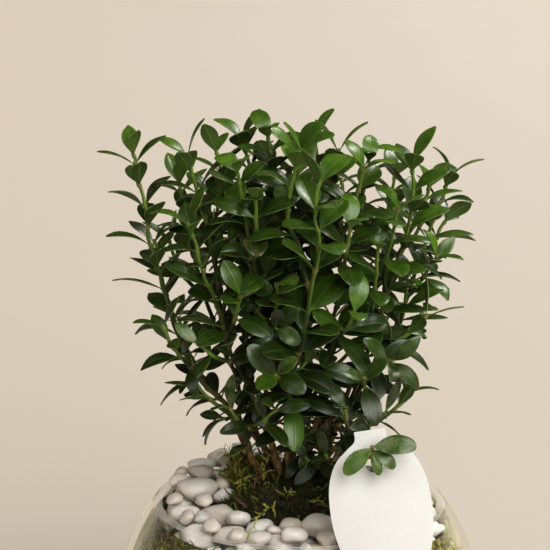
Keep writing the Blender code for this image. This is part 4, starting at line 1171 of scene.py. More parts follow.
TAG_PLACE = tag_place()
hang = TAG_PLACE @ Vector((0, 0, TAG_HOLE_RADIUS - TWIG_BELOW_EDGE))
TWIG_POINTS = [*TWIG_BEFORE_TAG, hang, *TWIG_BEYOND_TAG]
print("the twig holds the tag at", [round(v, 1) for v in hang])

# %% Card tag
TAG_EASE = 0.12
HOLE_STEPS = 48


def only(kind, items):
    """The items of one kind, such as faces, out of what an operator gives back."""
    return [item for item in items if isinstance(item, kind)]


def card_tag():
    bm = bmesh.new()
    back = TAG_THICKNESS / 2
    side = smooth_path([Vector((drop, half)) for drop, half in TAG_PROFILE], 1.5)
    rim = [bm.verts.new((x, -back, z)) for x, z in tag_outline([tuple(p) for p in side])]
    for pair in zip(rim, rim[1:] + rim[:1]):
        bm.edges.new(pair)
    upright = Matrix.Translation((0, -back, 0)) @ Matrix.Rotation(math.pi / 2, 4, "X")
    bmesh.ops.create_circle(bm, segments=HOLE_STEPS, radius=TAG_HOLE_RADIUS, matrix=upright)
    card = bmesh.ops.triangle_fill(bm, edges=bm.edges, use_beauty=True, normal=(0, -1, 0))["geom"]
    grown = bmesh.ops.extrude_face_region(bm, geom=only(bmesh.types.BMFace, card))["geom"]
    bmesh.ops.translate(bm, vec=(0, TAG_THICKNESS, 0), verts=only(bmesh.types.BMVert, grown))
    bmesh.ops.recalc_face_normals(bm, faces=bm.faces)
    corners = [edge for edge in bm.edges
               if len(edge.link_faces) == 2 and edge.calc_face_angle() > 1.2
               and abs(edge.verts[0].co.y - edge.verts[1].co.y) < back]
    bmesh.ops.bevel(bm, geom=corners, offset=TAG_EASE, segments=2, profile=0.5, affect="EDGES",
                    material=-1)
    bmesh.ops.transform(bm, matrix=TAG_PLACE, verts=bm.verts)
    return bm


card = new_finish("white_card", roughness=0.6, subsurface_weight=0.05, subsurface_scale=0.001)
fibres = card.mottled(260.0, 0.12, 0.0001)
card.set(base_color=card.blend(fibres["Grain"], (0.76, 0.765, 0.755), (0.80, 0.805, 0.795)),
         normal=fibres["Normal"])
add_piece("hanging_card_tag", card_tag(), [card], "card_tag", sharp=30.0)

# %% [markdown]
# ## Woody stems
#
# Old boxwood is tan and rough, with bark that splits along the stem. Each stem is swept from a
# circle that is extruded step by step along its path, with a little unevenness, and runs over into
# its green shoot without a step. All of them grow out of one stump that the moss hides.

# %% Sweep along a path
def wood_paths():
    """Each stem's path and where it turns green: one smooth line with the shoot that goes on."""
    first_shoots = {"tag_twig": TWIG_POINTS}
    for spray, *_, points in SHOOTS:
        first_shoots.setdefault(spray, points)
    paths = {}
    for name, parent, *_, points in WOOD:
        if parent in paths:
            points = [paths[parent][0].foot_near(points[0]), *points[1:]]
        whole = Path([*points, *first_shoots[name]])
        paths[name] = (whole, whole.nearest(Vector(points[-1])))
    return paths


def sweep(bm, path, start, end, radius, sides, step, kind, sway=None):
    """Extrudes a circle along part of a path. Radius, kind and sway follow the distance."""
    layers = bm.verts.layers.float_vector
    layer = layers.get("kind") or layers.new("kind")
    row = bmesh.ops.create_circle(bm, cap_ends=True, segments=sides, radius=1.0)["verts"]
    face = row[0].link_faces[0]
    parts = max(2, round((end - start) / step))
    for i in range(parts + 1):
        distance = between((start, end), i / parts)
        centre, direction = path.at(distance)
        right, back = across(direction)
        if sway:
            aside = sway(distance)
            centre = centre + right * aside[0] + back * aside[1]
        for k, (vert, turn) in enumerate(zip(face.verts, corner_turns(sides))):
            off = right * math.cos(turn) + back * math.sin(turn)
            vert.co = centre + off * radius(distance, centre + off, k)
            vert[layer] = kind(distance)
        if i < parts:
            grown = bmesh.ops.extrude_face_region(bm, geom=[face])["geom"]
            face = only(bmesh.types.BMFace, grown)[0]


WOOD_PATHS = wood_paths()
print("longest stem", round(max(path.length for path, _ in WOOD_PATHS.values())), "mm")

# %% Woody stems
STUMP_STEPS = 24
BARK_SIDES = 14
BARK_STEP = 1.6
BARK_ROUGHNESS = 0.16
KNOTS = 0.12  # how close they follow one another along the stem
RIDGES = 1.7  # how close they stand round it


def add_stem(bm, path, joint, radii, rng):
    """One stem, uneven with knots along it and ridges round it, and greener towards its shoot."""
    tone, seed = rng.random(), Vector((rng.uniform(0, 50), 0, 0))

    def radius(distance, point, _side):
        knots = noise.noise(Vector((distance * KNOTS, 0, 0)) + seed)
        ridges = noise.noise(Vector((point.x, point.y, point.z * KNOTS)) * RIDGES + seed)
        uneven = 1.0 + BARK_ROUGHNESS * knots + BARK_ROUGHNESS * ridges
        return between(radii, min(1.0, distance / joint)) * uneven

    def kind(distance):
        return tone, 0.6 * max(0.0, distance / joint - 0.6), 0

    sweep(bm, path, 0.0, joint, radius, BARK_SIDES, BARK_STEP, kind)


def woody_stems():
    profile = [(0, STUMP_LEVELS[0]), *zip(STUMP_RADII, STUMP_LEVELS), (0, STUMP_LEVELS[-1])]
    bm = turned(profile, STUMP_STEPS)
    layer = bm.verts.layers.float_vector.new("kind")
    for vert in bm.verts:
        vert.co.xy += STUMP_CENTRE
        vert[layer] = (0.5, 0.0, 0.0)
    rng = random.Random(3)
    for name, _, foot, end, _ in WOOD:
        add_stem(bm, *WOOD_PATHS[name], (foot, end), rng)
    bmesh.ops.recalc_face_normals(bm, faces=bm.faces)
    return bm


bark = new_finish("brown_bark", roughness=0.85)
tone, age, knot = bark.attribute("kind")
flakes = bark.mottled(420.0, 0.9, 0.0012, stretch=0.25)
old = bark.blend(flakes["Patches"], (0.11, 0.062, 0.022), (0.46, 0.30, 0.13))
golden = bark.blend(flakes["Patches"], (0.25, 0.13, 0.030), (0.66, 0.43, 0.15))
brown = bark.layered(bark.blend(tone, old, golden), (flakes["Grain"], 0.5, (0.035, 0.021, 0.010)))
green = bark.blend(bark.ramp(age, 0.6, 1.0), (0.034, 0.062, 0.007), (0.19, 0.295, 0.030))
green = bark.layered(green, (flakes["Grain"], 0.4, (0.03, 0.04, 0.01)))
colour = bark.blend(bark.ramp(age, 0.15, 0.5), brown, green)
bark.set(base_color=bark.layered(colour, (knot, 0.8, (0.30, 0.21, 0.09))),
         roughness=bark.maths("SUBTRACT", 0.9, bark.times(age, 0.4)), normal=flakes["Normal"])
add_piece("woody_stems_with_bark", woody_stems(), [bark], "woody_stems", sharp=60.0)

# %% [markdown]
# ## Where each leaf sits
#
# Boxwood carries its leaves in pairs, each pair a quarter turn from the one below. A leaf opens
# from the shoot, lifts to the light and turns its upper face outward. Each one is tried at a few
# turns until nothing is in its way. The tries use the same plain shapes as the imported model, so
# all the leaves come out in the same places.

# %% Leaf frame
LEAF_SPACING = (16.5, 11.0)  # at the foot of a shoot and at its tip
LEAF_WIDTH_SHARE = 0.58
LEAF_HALF_THICKNESS = 0.45
LEAF_WIDEST = 0.55  # shares of the length
LEAF_END = 0.96
PETIOLE_HALF_WIDTH = 0.9
FIRST_PAIR = 6.0  # from the foot of a shoot
LAST_PAIR = 1.6  # from its tip
LEAF_OPENING = (66, 44)  # degrees off the shoot, at its foot and near its tip
LAST_OPENING = 31
PAIR_OPENING_SPREAD = 7
LEAF_SIZE = (0.92, 1.14)  # of the shoot's leaf length, at its ends and in its middle
# Ranges of bend, fold, width, turn round the shoot, opening and size; the angles in degrees
LEAF_HABIT = ((5, 42), (4, 20), (0.9, 1.12), (-14, 14), (-6, 6), (0.9, 1.1))
LEAF_LIFT = Vector((0, 0, 0.12))  # how much every leaf turns up to the light
LEAF_TURNS = (0, 14, -14, 28, -28, 42, -42)  # degrees tried round the stem until a leaf is clear
LEAF_SIZES = (1.0, 0.8)  # all the turns are tried at the first size, then at the second
FACE_OUTWARD = 0.25  # how much the upper faces turn to the outside of the bush
FACE_TO_LIGHT = Vector((0.0, -0.06, 0.35))
FOOT_DEPTH = 0.7  # of the shoot's radius, where a leaf's foot lies
LEAF_CLEARANCE = 0.4
SHOOT_CLEARANCE = 1.0


def leaf_outline(share):
    """Half width at a share of the leaf's length, where 1 is the widest."""
    late = share ** 1.3
    return math.sqrt(max(0.0, 4 * late * (1 - late))) * min(1.0, share / 0.35) ** 0.6


def bulging_quad(bm, a, b, c, d, centre):
    """Two triangles between four corners, split along the diagonal that bulges from a centre."""
    normal = (c.co - a.co).cross(d.co - b.co)
    if normal.dot(a.co + b.co + c.co + d.co - 4 * centre) < 0:
        normal.negate()
    if (a.co + c.co).dot(normal) > (b.co + d.co).dot(normal):
        a, b, c, d = b, c, d, a
    bm.faces.new([a, b, d])
    bm.faces.new([b, c, d])


class Leaf:
    """One leaf: where it grows, which way it points and faces, its size and how it is bent."""

    def __init__(self, base, along, face, length, width, bend, fold, alone=False):
        self.base = base
        self.along = along
        self.side = along.cross(face).normalized()
        self.face = self.side.cross(along)
        self.length = length
        self.width = width
        self.bend = math.radians(bend)
        self.fold = math.radians(fold)
        self.alone = alone  # one of the measured leaves that stand out by themselves

    def point(self, share, across_share, lift=0.0, grow=0.0, half=None):
        """A point of the blade, lifted off its middle surface by a distance."""
        turn = self.bend * share
        reach = self.length * (math.sin(turn) / turn if abs(turn) > 1e-6 else 1.0) * share
        drop = self.length * ((1 - math.cos(turn)) / turn if abs(turn) > 1e-6 else 0.0) * share
        middle = self.base + self.along * reach - self.face * drop
        up = self.face * math.cos(turn) + self.along * math.sin(turn)
        if half is None:
            half = max(PETIOLE_HALF_WIDTH, self.width / 2 * leaf_outline(share)) + grow
        out = self.side * (half * across_share * math.cos(self.fold))
        return middle + out + up * (half * abs(across_share) * math.sin(self.fold) + lift)

    def solid(self, grow=0.0):
        """The plain leaf as a closed bmesh: a keeled lens with a square foot and a blunt end."""
        bm = bmesh.new()

        def corners(share, thick, places=((-1, 0), (0, -1), (1, 0), (0, 1))):
            return [bm.verts.new(self.point(share, x, z * (thick + grow), grow)) for x, z in places]

        root = corners(0.0, PETIOLE_HALF_WIDTH)
        bm.faces.new(root)
        middle = corners(LEAF_WIDEST, LEAF_HALF_THICKNESS)
        left, right = corners(LEAF_END, 0.0, ((-1, 0), (1, 0)))
        for keel in (middle[1], middle[3]):
            bm.faces.new([middle[0], keel, left])
            bm.faces.new([left, keel, right])
            bm.faces.new([right, keel, middle[2]])
        centre = sum((vert.co for vert in (*root, *middle)), Vector()) / 8
        for i, j in ((0, 1), (1, 2), (2, 3), (3, 0)):
            bulging_quad(bm, root[i], root[j], middle[j], middle[i], centre)
        bmesh.ops.recalc_face_normals(bm, faces=bm.faces)
        return bm


class Solid:
    """A shape kept only to test what runs into it."""

    def __init__(self, bm, owner=None):
        bmesh.ops.triangulate(bm, faces=bm.faces)
        spans = [[vert.co[k] for vert in bm.verts] for k in range(3)]
        self.low = [min(span) for span in spans]
        self.high = [max(span) for span in spans]
        self.tree = BVHTree.FromBMesh(bm)
        self.owner = owner
        bm.free()

    def meets(self, other):
        for k in range(3):
            if self.low[k] > other.high[k] or other.low[k] > self.high[k]:
                return False
        return bool(self.tree.overlap(other.tree))


# %% Shoots and their leaves
class Shoot:
    """A green shoot: its path, the part of it that is green, and the nodes its leaves grow from."""

    def __init__(self, number, spray, path, start, bearing, leaf_length, radii=SHOOT_RADII):
        self.number = number
        self.spray = spray
        self.path = path
        self.start = start
        self.end = path.length
        self.bearing = bearing
        self.leaf_length = leaf_length
        self.radii = radii
        self.nodes = []  # (distance, the leaves there)

    def share(self, distance):
        return (distance - self.start) / (self.end - self.start)

    def radius(self, distance):
        return between(self.radii, self.share(distance))

    def tube(self, grow):
        return tube(self.path, self.start, self.end, self.radii, TUBE_SIDES, LEAF_SPACING[0], grow)

    def node_places(self, rng):
        """(distance, quarter turns, opening, length) of each pair, closer together at the tip."""
        places = []
        distance = self.start + FIRST_PAIR
        while distance < self.end - FIRST_PAIR:
            share = self.share(distance)
            opening = between(LEAF_OPENING, share)
            opening += rng.uniform(-PAIR_OPENING_SPREAD, PAIR_OPENING_SPREAD)
            size = between(LEAF_SIZE, math.sin(math.pi * min(1.0, share * 1.1)))
            places.append((distance, len(places) % 2, opening, self.leaf_length * size))
            distance += between(LEAF_SPACING, share) * rng.uniform(0.9, 1.1)
        length = self.leaf_length * LEAF_SIZE[0]
        return [*places, (self.end - LAST_PAIR, len(places) % 2, LAST_OPENING, length)]

    def leaf(self, place, half, turn_more, size_share, habit):
        """The leaf of a pair, its upper face turned to the light and the outside of the bush."""
        distance, quarter, opening, length = place
        bend, fold, width, turn_habit, opening_habit, size_habit = habit
        point, direction = self.path.at(distance)
        facet = math.radians(self.bearing + 90 * quarter + 180 * half)
        outward = spoke(direction, facet + math.radians(turn_habit + turn_more))
        opening = math.radians(opening + opening_habit)
        along = direction * math.cos(opening) + outward * math.sin(opening) + LEAF_LIFT
        face = direction * math.sin(opening) - outward * math.cos(opening)
        face += Vector((point.x, point.y, 0)).normalized() * FACE_OUTWARD + FACE_TO_LIGHT
        size = length * size_share * size_habit
        foot = point + spoke(direction, facet) * self.radius(distance) * FOOT_DEPTH
        width *= size * LEAF_WIDTH_SHARE
        return Leaf(foot, along.normalized(), face, size, width, bend, fold)


def all_shoots():
    """The shoots in the order of the table, each on its stem or on its spray's first shoot."""
    made = []
    for number, (spray, bearing, length, points) in enumerate(SHOOTS):
        path, joint = WOOD_PATHS[spray]
        start = joint + GAP
        if spray in [shoot.spray for shoot in made]:
            path, start = Path([path.foot_near(points[0]), *points[1:]]), 0.0
        made.append(Shoot(number, spray, path, start, bearing, length))
    return made


def blocking_solids():
    """What the leaves have to miss: the stems, the shoots and the tag."""
    found = [Solid(stump(GAP), "wood")]
    for name, _, foot, end, _ in WOOD:
        path, joint = WOOD_PATHS[name]
        stem = tube(path, 0.0, joint, (foot, end), TUBE_SIDES, WOOD_STEP, LEAF_CLEARANCE)
        found.append(Solid(stem, "wood"))
    found += [Solid(shoot.tube(SHOOT_CLEARANCE), shoot.number) for shoot in shoots]
    path, joint = WOOD_PATHS["tag_twig"]
    twig = tube(path, joint + GAP, path.length, TWIG_RADII, TUBE_SIDES, TWIG_STEP, LEAF_CLEARANCE)
    found.append(Solid(twig, "tag"))
    card_box = bmesh.new()
    size = Matrix.Diagonal((2 * max(half for _, half in TAG_PROFILE), 3 * TAG_THICKNESS, 60, 1))
    middle = TAG_PLACE @ Matrix.Translation((0, 0, -20))
    bmesh.ops.create_cube(card_box, size=1.0, matrix=middle @ size)
    return [*found, Solid(card_box, "tag")]


def single_leaves():
    """The leaves that stand out by themselves, as (spray, leaf)."""
    rng = random.Random(5)
    made = []
    for spray, foot, tip, face, width in SINGLE_LEAVES:
        paths = [shoot.path for shoot in shoots if shoot.spray == spray] or [WOOD_PATHS[spray][0]]
        feet = [path.foot_near(foot) for path in paths]
        foot = min(feet, key=lambda point: (point - Vector(foot)).length)
        along = Vector(tip) - foot
        leaf = Leaf(foot, along.normalized(), Vector(face), along.length, width,
                    rng.uniform(10, 25), 8, alone=True)
        made.append((spray, leaf))
        solids.append(Solid(leaf.solid(), "leaf"))
    return made


def place_leaves(bearers):
    """Tries each leaf at a few turns and two sizes, and keeps the first that is clear."""
    for shoot in bearers:
        rng = random.Random(100 + shoot.number)
        for place in shoot.node_places(rng):
            grown = []
            for half in (0, 1):
                habit = [rng.uniform(*span) for span in LEAF_HABIT]
                for size, turn in product(LEAF_SIZES, LEAF_TURNS):
                    leaf = shoot.leaf(place, half, turn, size, habit)
                    probe = Solid(leaf.solid(LEAF_CLEARANCE))
                    if not any(s.owner != shoot.number and s.meets(probe) for s in solids):
                        grown.append(leaf)
                        break
            solids.extend(Solid(leaf.solid(), "leaf") for leaf in grown)
            if grown:
                shoot.nodes.append((place[0], grown))


shoots = all_shoots()
solids = blocking_solids()
singles = single_leaves()
place_leaves(shoots)
print("leaves", sum(len(grown) for shoot in shoots for _, grown in shoot.nodes) + len(singles))

# %% [markdown]
# A clipped boxwood is dense inside, because short spurs with smaller leaves grow from the older
# nodes and from the wood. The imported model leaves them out. Here they fill the middle of the bush
# wherever they find room, on the lower part of each shoot and along the stems. Low down in front
# the shoots stay bare of them, so that the wood shows.

# %% Spurs
SPUR_LENGTH = (9.0, 20.0)
SPUR_RADII = (0.75, 0.55)
SPUR_LEAF = (13.5, 19.0)
SPUR_SHARE = 0.6  # of a shoot, from its foot, that carries spurs
SPUR_CENTRE_X = -12.0
SPUR_REACH = 36.0  # from the middle of the bush: the outermost shoots stay single
SPUR_CHANCE = 1.0
SPUR_TRIES = 7
SPUR_AIM = 0.35  # spread of its direction round the stem, in radians, and how far it bends up
SPUR_CLEARANCE = 0.3
SPUR_FREE_FOOT = 3.0  # not tested, beside the leaf it grows over
SPUR_FRONT_Z = 245.0  # below it the wood shows in front
SPUR_NUMBERS = 1000  # the first one
WOOD_SPUR_SPACING = 3.0
WOOD_SPUR_LOWEST = (210.0, 190.0)  # on the left and on the right, where leaves hang to the moss


def try_spur(number, parent, point, direction, facet, rng):
    """A spur from a point of a stem, bent upward, or None where it has no room."""
    for _ in range(SPUR_TRIES):
        out = spoke(direction, facet + rng.gauss(0, SPUR_AIM))
        length = rng.uniform(*SPUR_LENGTH)
        first = (out + direction * rng.uniform(0.3, 1.2)).normalized()
        bend = (first + Vector((0, 0, SPUR_AIM))).normalized()
        elbow = point + first * length * 0.5
        path = Path([point, elbow, elbow + bend * length * 0.5])
        bearing, leaf_length = rng.uniform(0, 90), rng.uniform(*SPUR_LEAF)
        spur = Shoot(number, parent, path, 0.0, bearing, leaf_length, SPUR_RADII)
        probe = Solid(tube(path, SPUR_FREE_FOOT, spur.end, SPUR_RADII, TUBE_SIDES, SPUR_STEP,
                           SPUR_CLEARANCE))
        if not any(s.meets(probe) for s in solids):
            solids.append(Solid(spur.tube(SPUR_CLEARANCE), number))
            return spur
    return None


def spur_places(rng):
    """(parent, point, direction, bearing in radians) of every place where a spur may grow."""
    for shoot in shoots:
        for distance, _ in shoot.nodes:
            point, direction = shoot.path.at(distance)
            inside = math.hypot(point.x - SPUR_CENTRE_X, point.y) <= SPUR_REACH
            in_view = point.y < 0 and point.z < SPUR_FRONT_Z
            low = distance - shoot.start <= SPUR_SHARE * (shoot.end - shoot.start)
            for quarter in range(4) if low and inside and not in_view else ():
                facet = math.radians(shoot.bearing + 90 * quarter)
                if rng.random() < SPUR_CHANCE:
                    yield shoot.spray, point, direction, facet
    for name, (path, joint) in WOOD_PATHS.items():
        for i in range(math.ceil(joint / WOOD_SPUR_SPACING)):
            point, direction = path.at(i * WOOD_SPUR_SPACING)
            if point.z > WOOD_SPUR_LOWEST[point.x > 0]:
                yield name, point, direction, any_turn(rng)


def all_spurs():
    rng = random.Random(61)
    places = enumerate(spur_places(rng), SPUR_NUMBERS)
    tried = [try_spur(number, *place, rng) for number, place in places]
    return [spur for spur in tried if spur]


spurs = all_spurs()
place_leaves(spurs)
print("spurs", len(spurs), "with", sum(len(grown) for s in spurs for _, grown in s.nodes), "leaves")

# %% [markdown]
# ## Leaf finish
#
# A boxwood leaf is leathery: dark glossy green above with a sunk pale midrib and faint slanting
# veins, matt yellow-green below, and a thin pale line round its edge. Young leaves near the tips
# are lighter and the light shines through them. The blade carries where each point lies along and
# across it, and the vein group turns that into colour masks and a height.

# %% Vein group
def vein_group():
    group = Finish(bpy.data.node_groups.new("leaf veins", "ShaderNodeTree"))
    along, side, _ = group.attribute("leaf_place")
    side = group.maths("ABSOLUTE", side)
    midrib = group.ramp(side, 0.13, 0.02)
    slant = group.maths("SUBTRACT", group.times(along, 62.0), group.times(side, 20.0))
    veins = group.maths("POWER", group.maths("ABSOLUTE", group.maths("SINE", slant)), 6.0)
    results = {"Midrib": midrib, "Margin": group.ramp(side, 0.93, 0.99),
               "Height": group.maths("SUBTRACT", group.times(veins, 0.08), midrib),
               "Stalk": group.ramp(along, 0.2, 0.04)}
    for name in results:
        group.tree.interface.new_socket(name, in_out="OUTPUT", socket_type="NodeSocketFloat")
    group.node("NodeGroupOutput", results)
    return group.tree


VEINS = vein_group()
print("groups", [group.name for group in bpy.data.node_groups])

# %% Leaf materials
upper = new_finish("green_leaf", roughness=0.3, subsurface_weight=0.12, subsurface_scale=0.0015,
                   specular_ior_level=0.58)
tone, age, mark = upper.attribute("kind")
veins = upper.node("ShaderNodeGroup", node_tree=VEINS)
spots = upper.mottled(150.0, 0.1, 0.0004)
dark = upper.blend(spots["Patches"], (0.009, 0.018, 0.002), (0.013, 0.026, 0.003))
light = upper.blend(spots["Patches"], (0.053, 0.127, 0.007), (0.080, 0.178, 0.013))
young = upper.blend(spots["Patches"], (0.080, 0.190, 0.008), (0.135, 0.260, 0.015))
colour = upper.blend(age, upper.blend(upper.maths("POWER", tone, 1.35), dark, light), young)
# A few leaves have brown spots and a few have pale flecks
brown = upper.times(upper.ramp(spots["Patches"], 0.75, 0.95), upper.ramp(mark, 0.86, 0.96))
pale = upper.times(upper.times(spots["Grain"], spots["Patches"]), upper.ramp(mark, 0.07, 0.03))
# Low down in the bush, behind the leaves of the twig in front, they are painted darker, a painted
# shade, and are duller
where = upper.parts(upper.place())
low = upper.times(upper.ramp(where["Z"], 0.30, 0.215), upper.ramp(where["Y"], -0.082, -0.062))
colour = upper.layered(colour,
                       (veins["Midrib"], 0.3, (0.12, 0.20, 0.04)),
                       (veins["Margin"], 0.6, (0.15, 0.25, 0.05)),
                       (brown, 0.7, (0.11, 0.062, 0.02)),
                       (pale, 0.6, (0.24, 0.27, 0.13)),
                       (low, 0.35, (0.009, 0.016, 0.001)),
                       (veins["Stalk"], 0.7, (0.15, 0.25, 0.04)))
rough = upper.plus(0.27, upper.times(spots["Grain"], 0.12))
upper.set(base_color=colour, roughness=upper.plus(rough, upper.times(low, 0.04)),
          normal=upper.bump(0.2, 0.0003, veins["Height"], spots["Normal"]))

under = new_finish("leaf_underside", roughness=0.55, subsurface_weight=0.12,
                   subsurface_scale=0.0015)
tone, age, _ = under.attribute("kind")
veins = under.node("ShaderNodeGroup", node_tree=VEINS)
spots = under.mottled(200.0, 0.2, 0.0003)
colour = under.blend(tone, (0.040, 0.090, 0.014), (0.075, 0.145, 0.024))
colour = under.layered(under.blend(age, colour, (0.15, 0.26, 0.03)),
                       (veins["Midrib"], 0.6, (0.22, 0.30, 0.08)),
                       (spots["Grain"], 0.25, (0.06, 0.09, 0.02)))
raised = under.times(veins["Height"], -1.0)
under.set(base_color=colour, normal=under.bump(0.5, 0.0003, raised, spots["Normal"]))

margin = new_finish("leaf_edge", roughness=0.5)
spots = margin.mottled(300.0, 0.2, 0.0002)
margin.set(base_color=margin.blend(spots["Patches"], (0.07, 0.13, 0.02), (0.16, 0.25, 0.05)),
           normal=spots["Normal"])
LEAF_FINISHES = (upper, under, margin)
print("leaf finishes", [finish.material.name for finish in LEAF_FINISHES])

# %% [markdown]
# ## Leafy sprays
#
# A blade starts as a small grid, bent and folded along its midrib, drawn in at the stalk and
# rounded at the end. Low in the bush and at its sides the blades are slimmer, and the outer ones
# taper to a point. Solidify gives a blade its thickness, with the underside and the edge in
# finishes of their own. The shoots are four-ridged and swell at each pair, so they are swept like
# the stems.

# %% Blades
BLADE_ROWS = (0.0, 0.06, 0.15, 0.28, 0.43, 0.57, 0.7, 0.81, 0.9, 0.96, 1.0)
BLADE_SIDES = (-1.0, -0.5, 0.0, 0.5, 1.0)
BLADE_THICKNESS = 0.45
BLADE_LENGTH = 0.965  # of the leaf's length, up to the corners of its blunt point
BLADE_WIDTH = (0.76, 1.12)  # low in the bush and at its top
SIDE_WIDTH = 0.76  # of a blade's width, at the sides of the bush
SIDE_REACH = 75.0  # from the middle to its sides
STALK_HALF_WIDTH = 0.5
ROUND_END = 0.035  # of the length, how far the middle of the end stands out
END_NOTCH = 0.008  # and how far its very tip is drawn in
FOLD_MORE = (0.04, 0.30)  # a deeper keel, of the half width
EDGE_DROOP = 0.3  # how far the margins roll down, of the half width
TWIST = 0.22
TIP_CURL = (0.0, 0.27)  # of the length
LOW_LEAVES_Z = 225.0
HIGH_LEAVES = 95.0  # above them
BUSH_WIDTH = 160.0


def blade_outline(share, high, pointed):
    """Half width at a share of the length, where 1 is the widest: a blunt or pointed spoon."""
    late = share ** between((1.2, 1.5), high)
    taper = 1 - 0.75 * pointed * share ** 5
    return max(0.0, 4 * late * (1 - late)) ** 0.55 * min(1.0, share / 0.35) ** 0.5 * taper


def height_share(z):
    """0 low in the bush and 1 at its top."""
    return clamp((z - LOW_LEAVES_Z) / HIGH_LEAVES)


def light_share(point):
    """0 in the shade low in the bush and 1 where the light falls on it, high and at the right."""
    painted_light_side = clamp(0.5 + point.x / BUSH_WIDTH)
    return min(1.0, height_share(point.z) * between((0.6, 1.2), painted_light_side))


def row_of(values, place):
    """The value at a place from -1 to 1 in a row of them."""
    return values[round((place + 1) / 2 * (len(values) - 1))]


def add_blade(bm, leaf, tone, age, mark):
    """One blade from a grid, with its place and kind on each vertex."""
    kinds, places = (bm.verts.layers.float_vector[name] for name in ("kind", "leaf_place"))
    twist = TWIST * (2 * mark - 1)
    curl = between(TIP_CURL, (tone * 7) % 1.0) * leaf.length
    fold_more = between(FOLD_MORE, (tone * 13) % 1.0)
    high = height_share(leaf.base.z)
    outer = min(1.0, abs(leaf.base.x) / SIDE_REACH)
    broad = between(BLADE_WIDTH, high) * between((1.0, SIDE_WIDTH), outer)
    if leaf.alone:
        broad, outer = 1.0, 0.0
    columns, rows_up = len(BLADE_SIDES) - 1, len(BLADE_ROWS) - 1
    grid = bmesh.ops.create_grid(bm, x_segments=columns, y_segments=rows_up, size=1.0)
    for vert in grid["verts"]:
        share, side = row_of(BLADE_ROWS, vert.co.y), row_of(BLADE_SIDES, vert.co.x)
        plain = leaf.width / 2 * broad * blade_outline(share * BLADE_LENGTH, high, outer)
        half = max(STALK_HALF_WIDTH, plain)
        round_end = (ROUND_END * (1 - side ** 2) - END_NOTCH * (side == 0)) * share ** 6
        lift = half * (fold_more * abs(side) - EDGE_DROOP * abs(side) ** 3 + twist * side * share)
        lift -= curl * share ** 3
        vert.co = leaf.point(share * BLADE_LENGTH + round_end, side, lift, half=half)
        vert[kinds] = (tone, age, mark)
        vert[places] = (share, side, 0)


def blades(leaves):
    """A bmesh of closed blades with upper face, underside and edge as materials 0, 1 and 2."""
    bm = bmesh.new()
    for name in ("kind", "leaf_place"):
        bm.verts.layers.float_vector.new(name)
    for entry in leaves:
        add_blade(bm, *entry)
    mesh = mesh_of(bm, "blades")
    for finish in LEAF_FINISHES:
        mesh.materials.append(finish.material)
    made = show("blades", mesh)
    wall = made.modifiers.new("thickness", "SOLIDIFY")
    wall.thickness, wall.offset = BLADE_THICKNESS, 0.0
    wall.material_offset, wall.material_offset_rim = 1, 2
    bm = bmesh.new()
    bm.from_object(made, bpy.context.evaluated_depsgraph_get())
    bpy.data.objects.remove(made)
    return bm


# %% Sprays
SHOOT_SIDES = 8
SHOOT_STEP = 2.2
SHOOT_RIDGES = (1.2, 0.95)  # of the radius, on a ridge and beside it
NODE_SWELL = 0.6
SWELL_REACH = 0.9  # along the shoot
KNOTTY = 0.3  # share of the swellings that are dry and brown
KNOT_REACH = 1.6
NODE_BOW = 0.6  # how far a shoot bows out between two pairs of leaves
YOUNG_LEAVES = 2  # pairs at each tip that are lighter
SPUR_YOUTH = 0.3


def leaves_of(shoot, rng, youth=1.0):
    """(leaf, tone, age, mark) of each leaf on a shoot."""
    found = []
    for i, (_, grown) in enumerate(reversed(shoot.nodes)):
        for leaf in grown:
            # Tone and age fall where light_share is low, so leaves in the shade are painted darker:
            # painted shade.
            lit = light_share(leaf.base)
            age = max(0.0, 1.0 - i / YOUNG_LEAVES) * rng.uniform(0.1, 0.9) * youth
            tone = rng.random() * between((0.5, 1.0), youth) * between((0.15, 1.0), lit)
            mark = rng.random() ** between((1.7, 1.0), lit)
            found.append((leaf, tone, age * between((0.3, 1.0), lit), mark))
    return found


def bump_at(distance, places, reach):
    """1 at the nearest of some places along a shoot and less away from it. A place has a weight."""
    return max((weight * math.exp(-((distance - place) / reach) ** 2) for place, weight in places),
               default=0.0)


def add_shoot(bm, shoot, rng):
    """The four-ridged shoot, which swells at each pair of leaves and bows between them."""
    places = [distance for distance, _ in shoot.nodes]
    swellings = [(place, 1.0) for place in places]
    tone = rng.random()
    knots = [(place, float(rng.random() < KNOTTY)) for place in places]
    bows = [(rng.gauss(0, NODE_BOW), rng.gauss(0, NODE_BOW)) for _ in places]
    greener = 0.1 if shoot.start == 0.0 else 0.0

    def radius(distance, _point, side):
        swell = bump_at(distance, swellings, SWELL_REACH)
        return shoot.radius(distance) * SHOOT_RIDGES[side % 2] * (1.0 + NODE_SWELL * swell)

    def kind(distance):
        age = 0.25 + 0.75 * min(1.0, shoot.share(distance) * 1.2 + greener)
        return tone, age, bump_at(distance, knots, KNOT_REACH)

    def sway(distance):
        for low, high, bow in zip(places, places[1:], bows):
            if low < distance < high:
                bulge = math.sin(math.pi * (distance - low) / (high - low))
                return bow[0] * bulge, bow[1] * bulge
        return 0.0, 0.0

    sweep(bm, shoot.path, shoot.start, shoot.end, radius, SHOOT_SIDES, SHOOT_STEP, kind, sway)


def add_tag_twig(bm):
    path, joint = WOOD_PATHS["tag_twig"]

    def radius(distance, _point, _side):
        return between(TWIG_RADII, (distance - joint) / (path.length - joint))

    def kind(_distance):
        return 0.5, 0.2, 0

    sweep(bm, path, joint + GAP, path.length, radius, SHOOT_SIDES, SHOOT_STEP, kind)


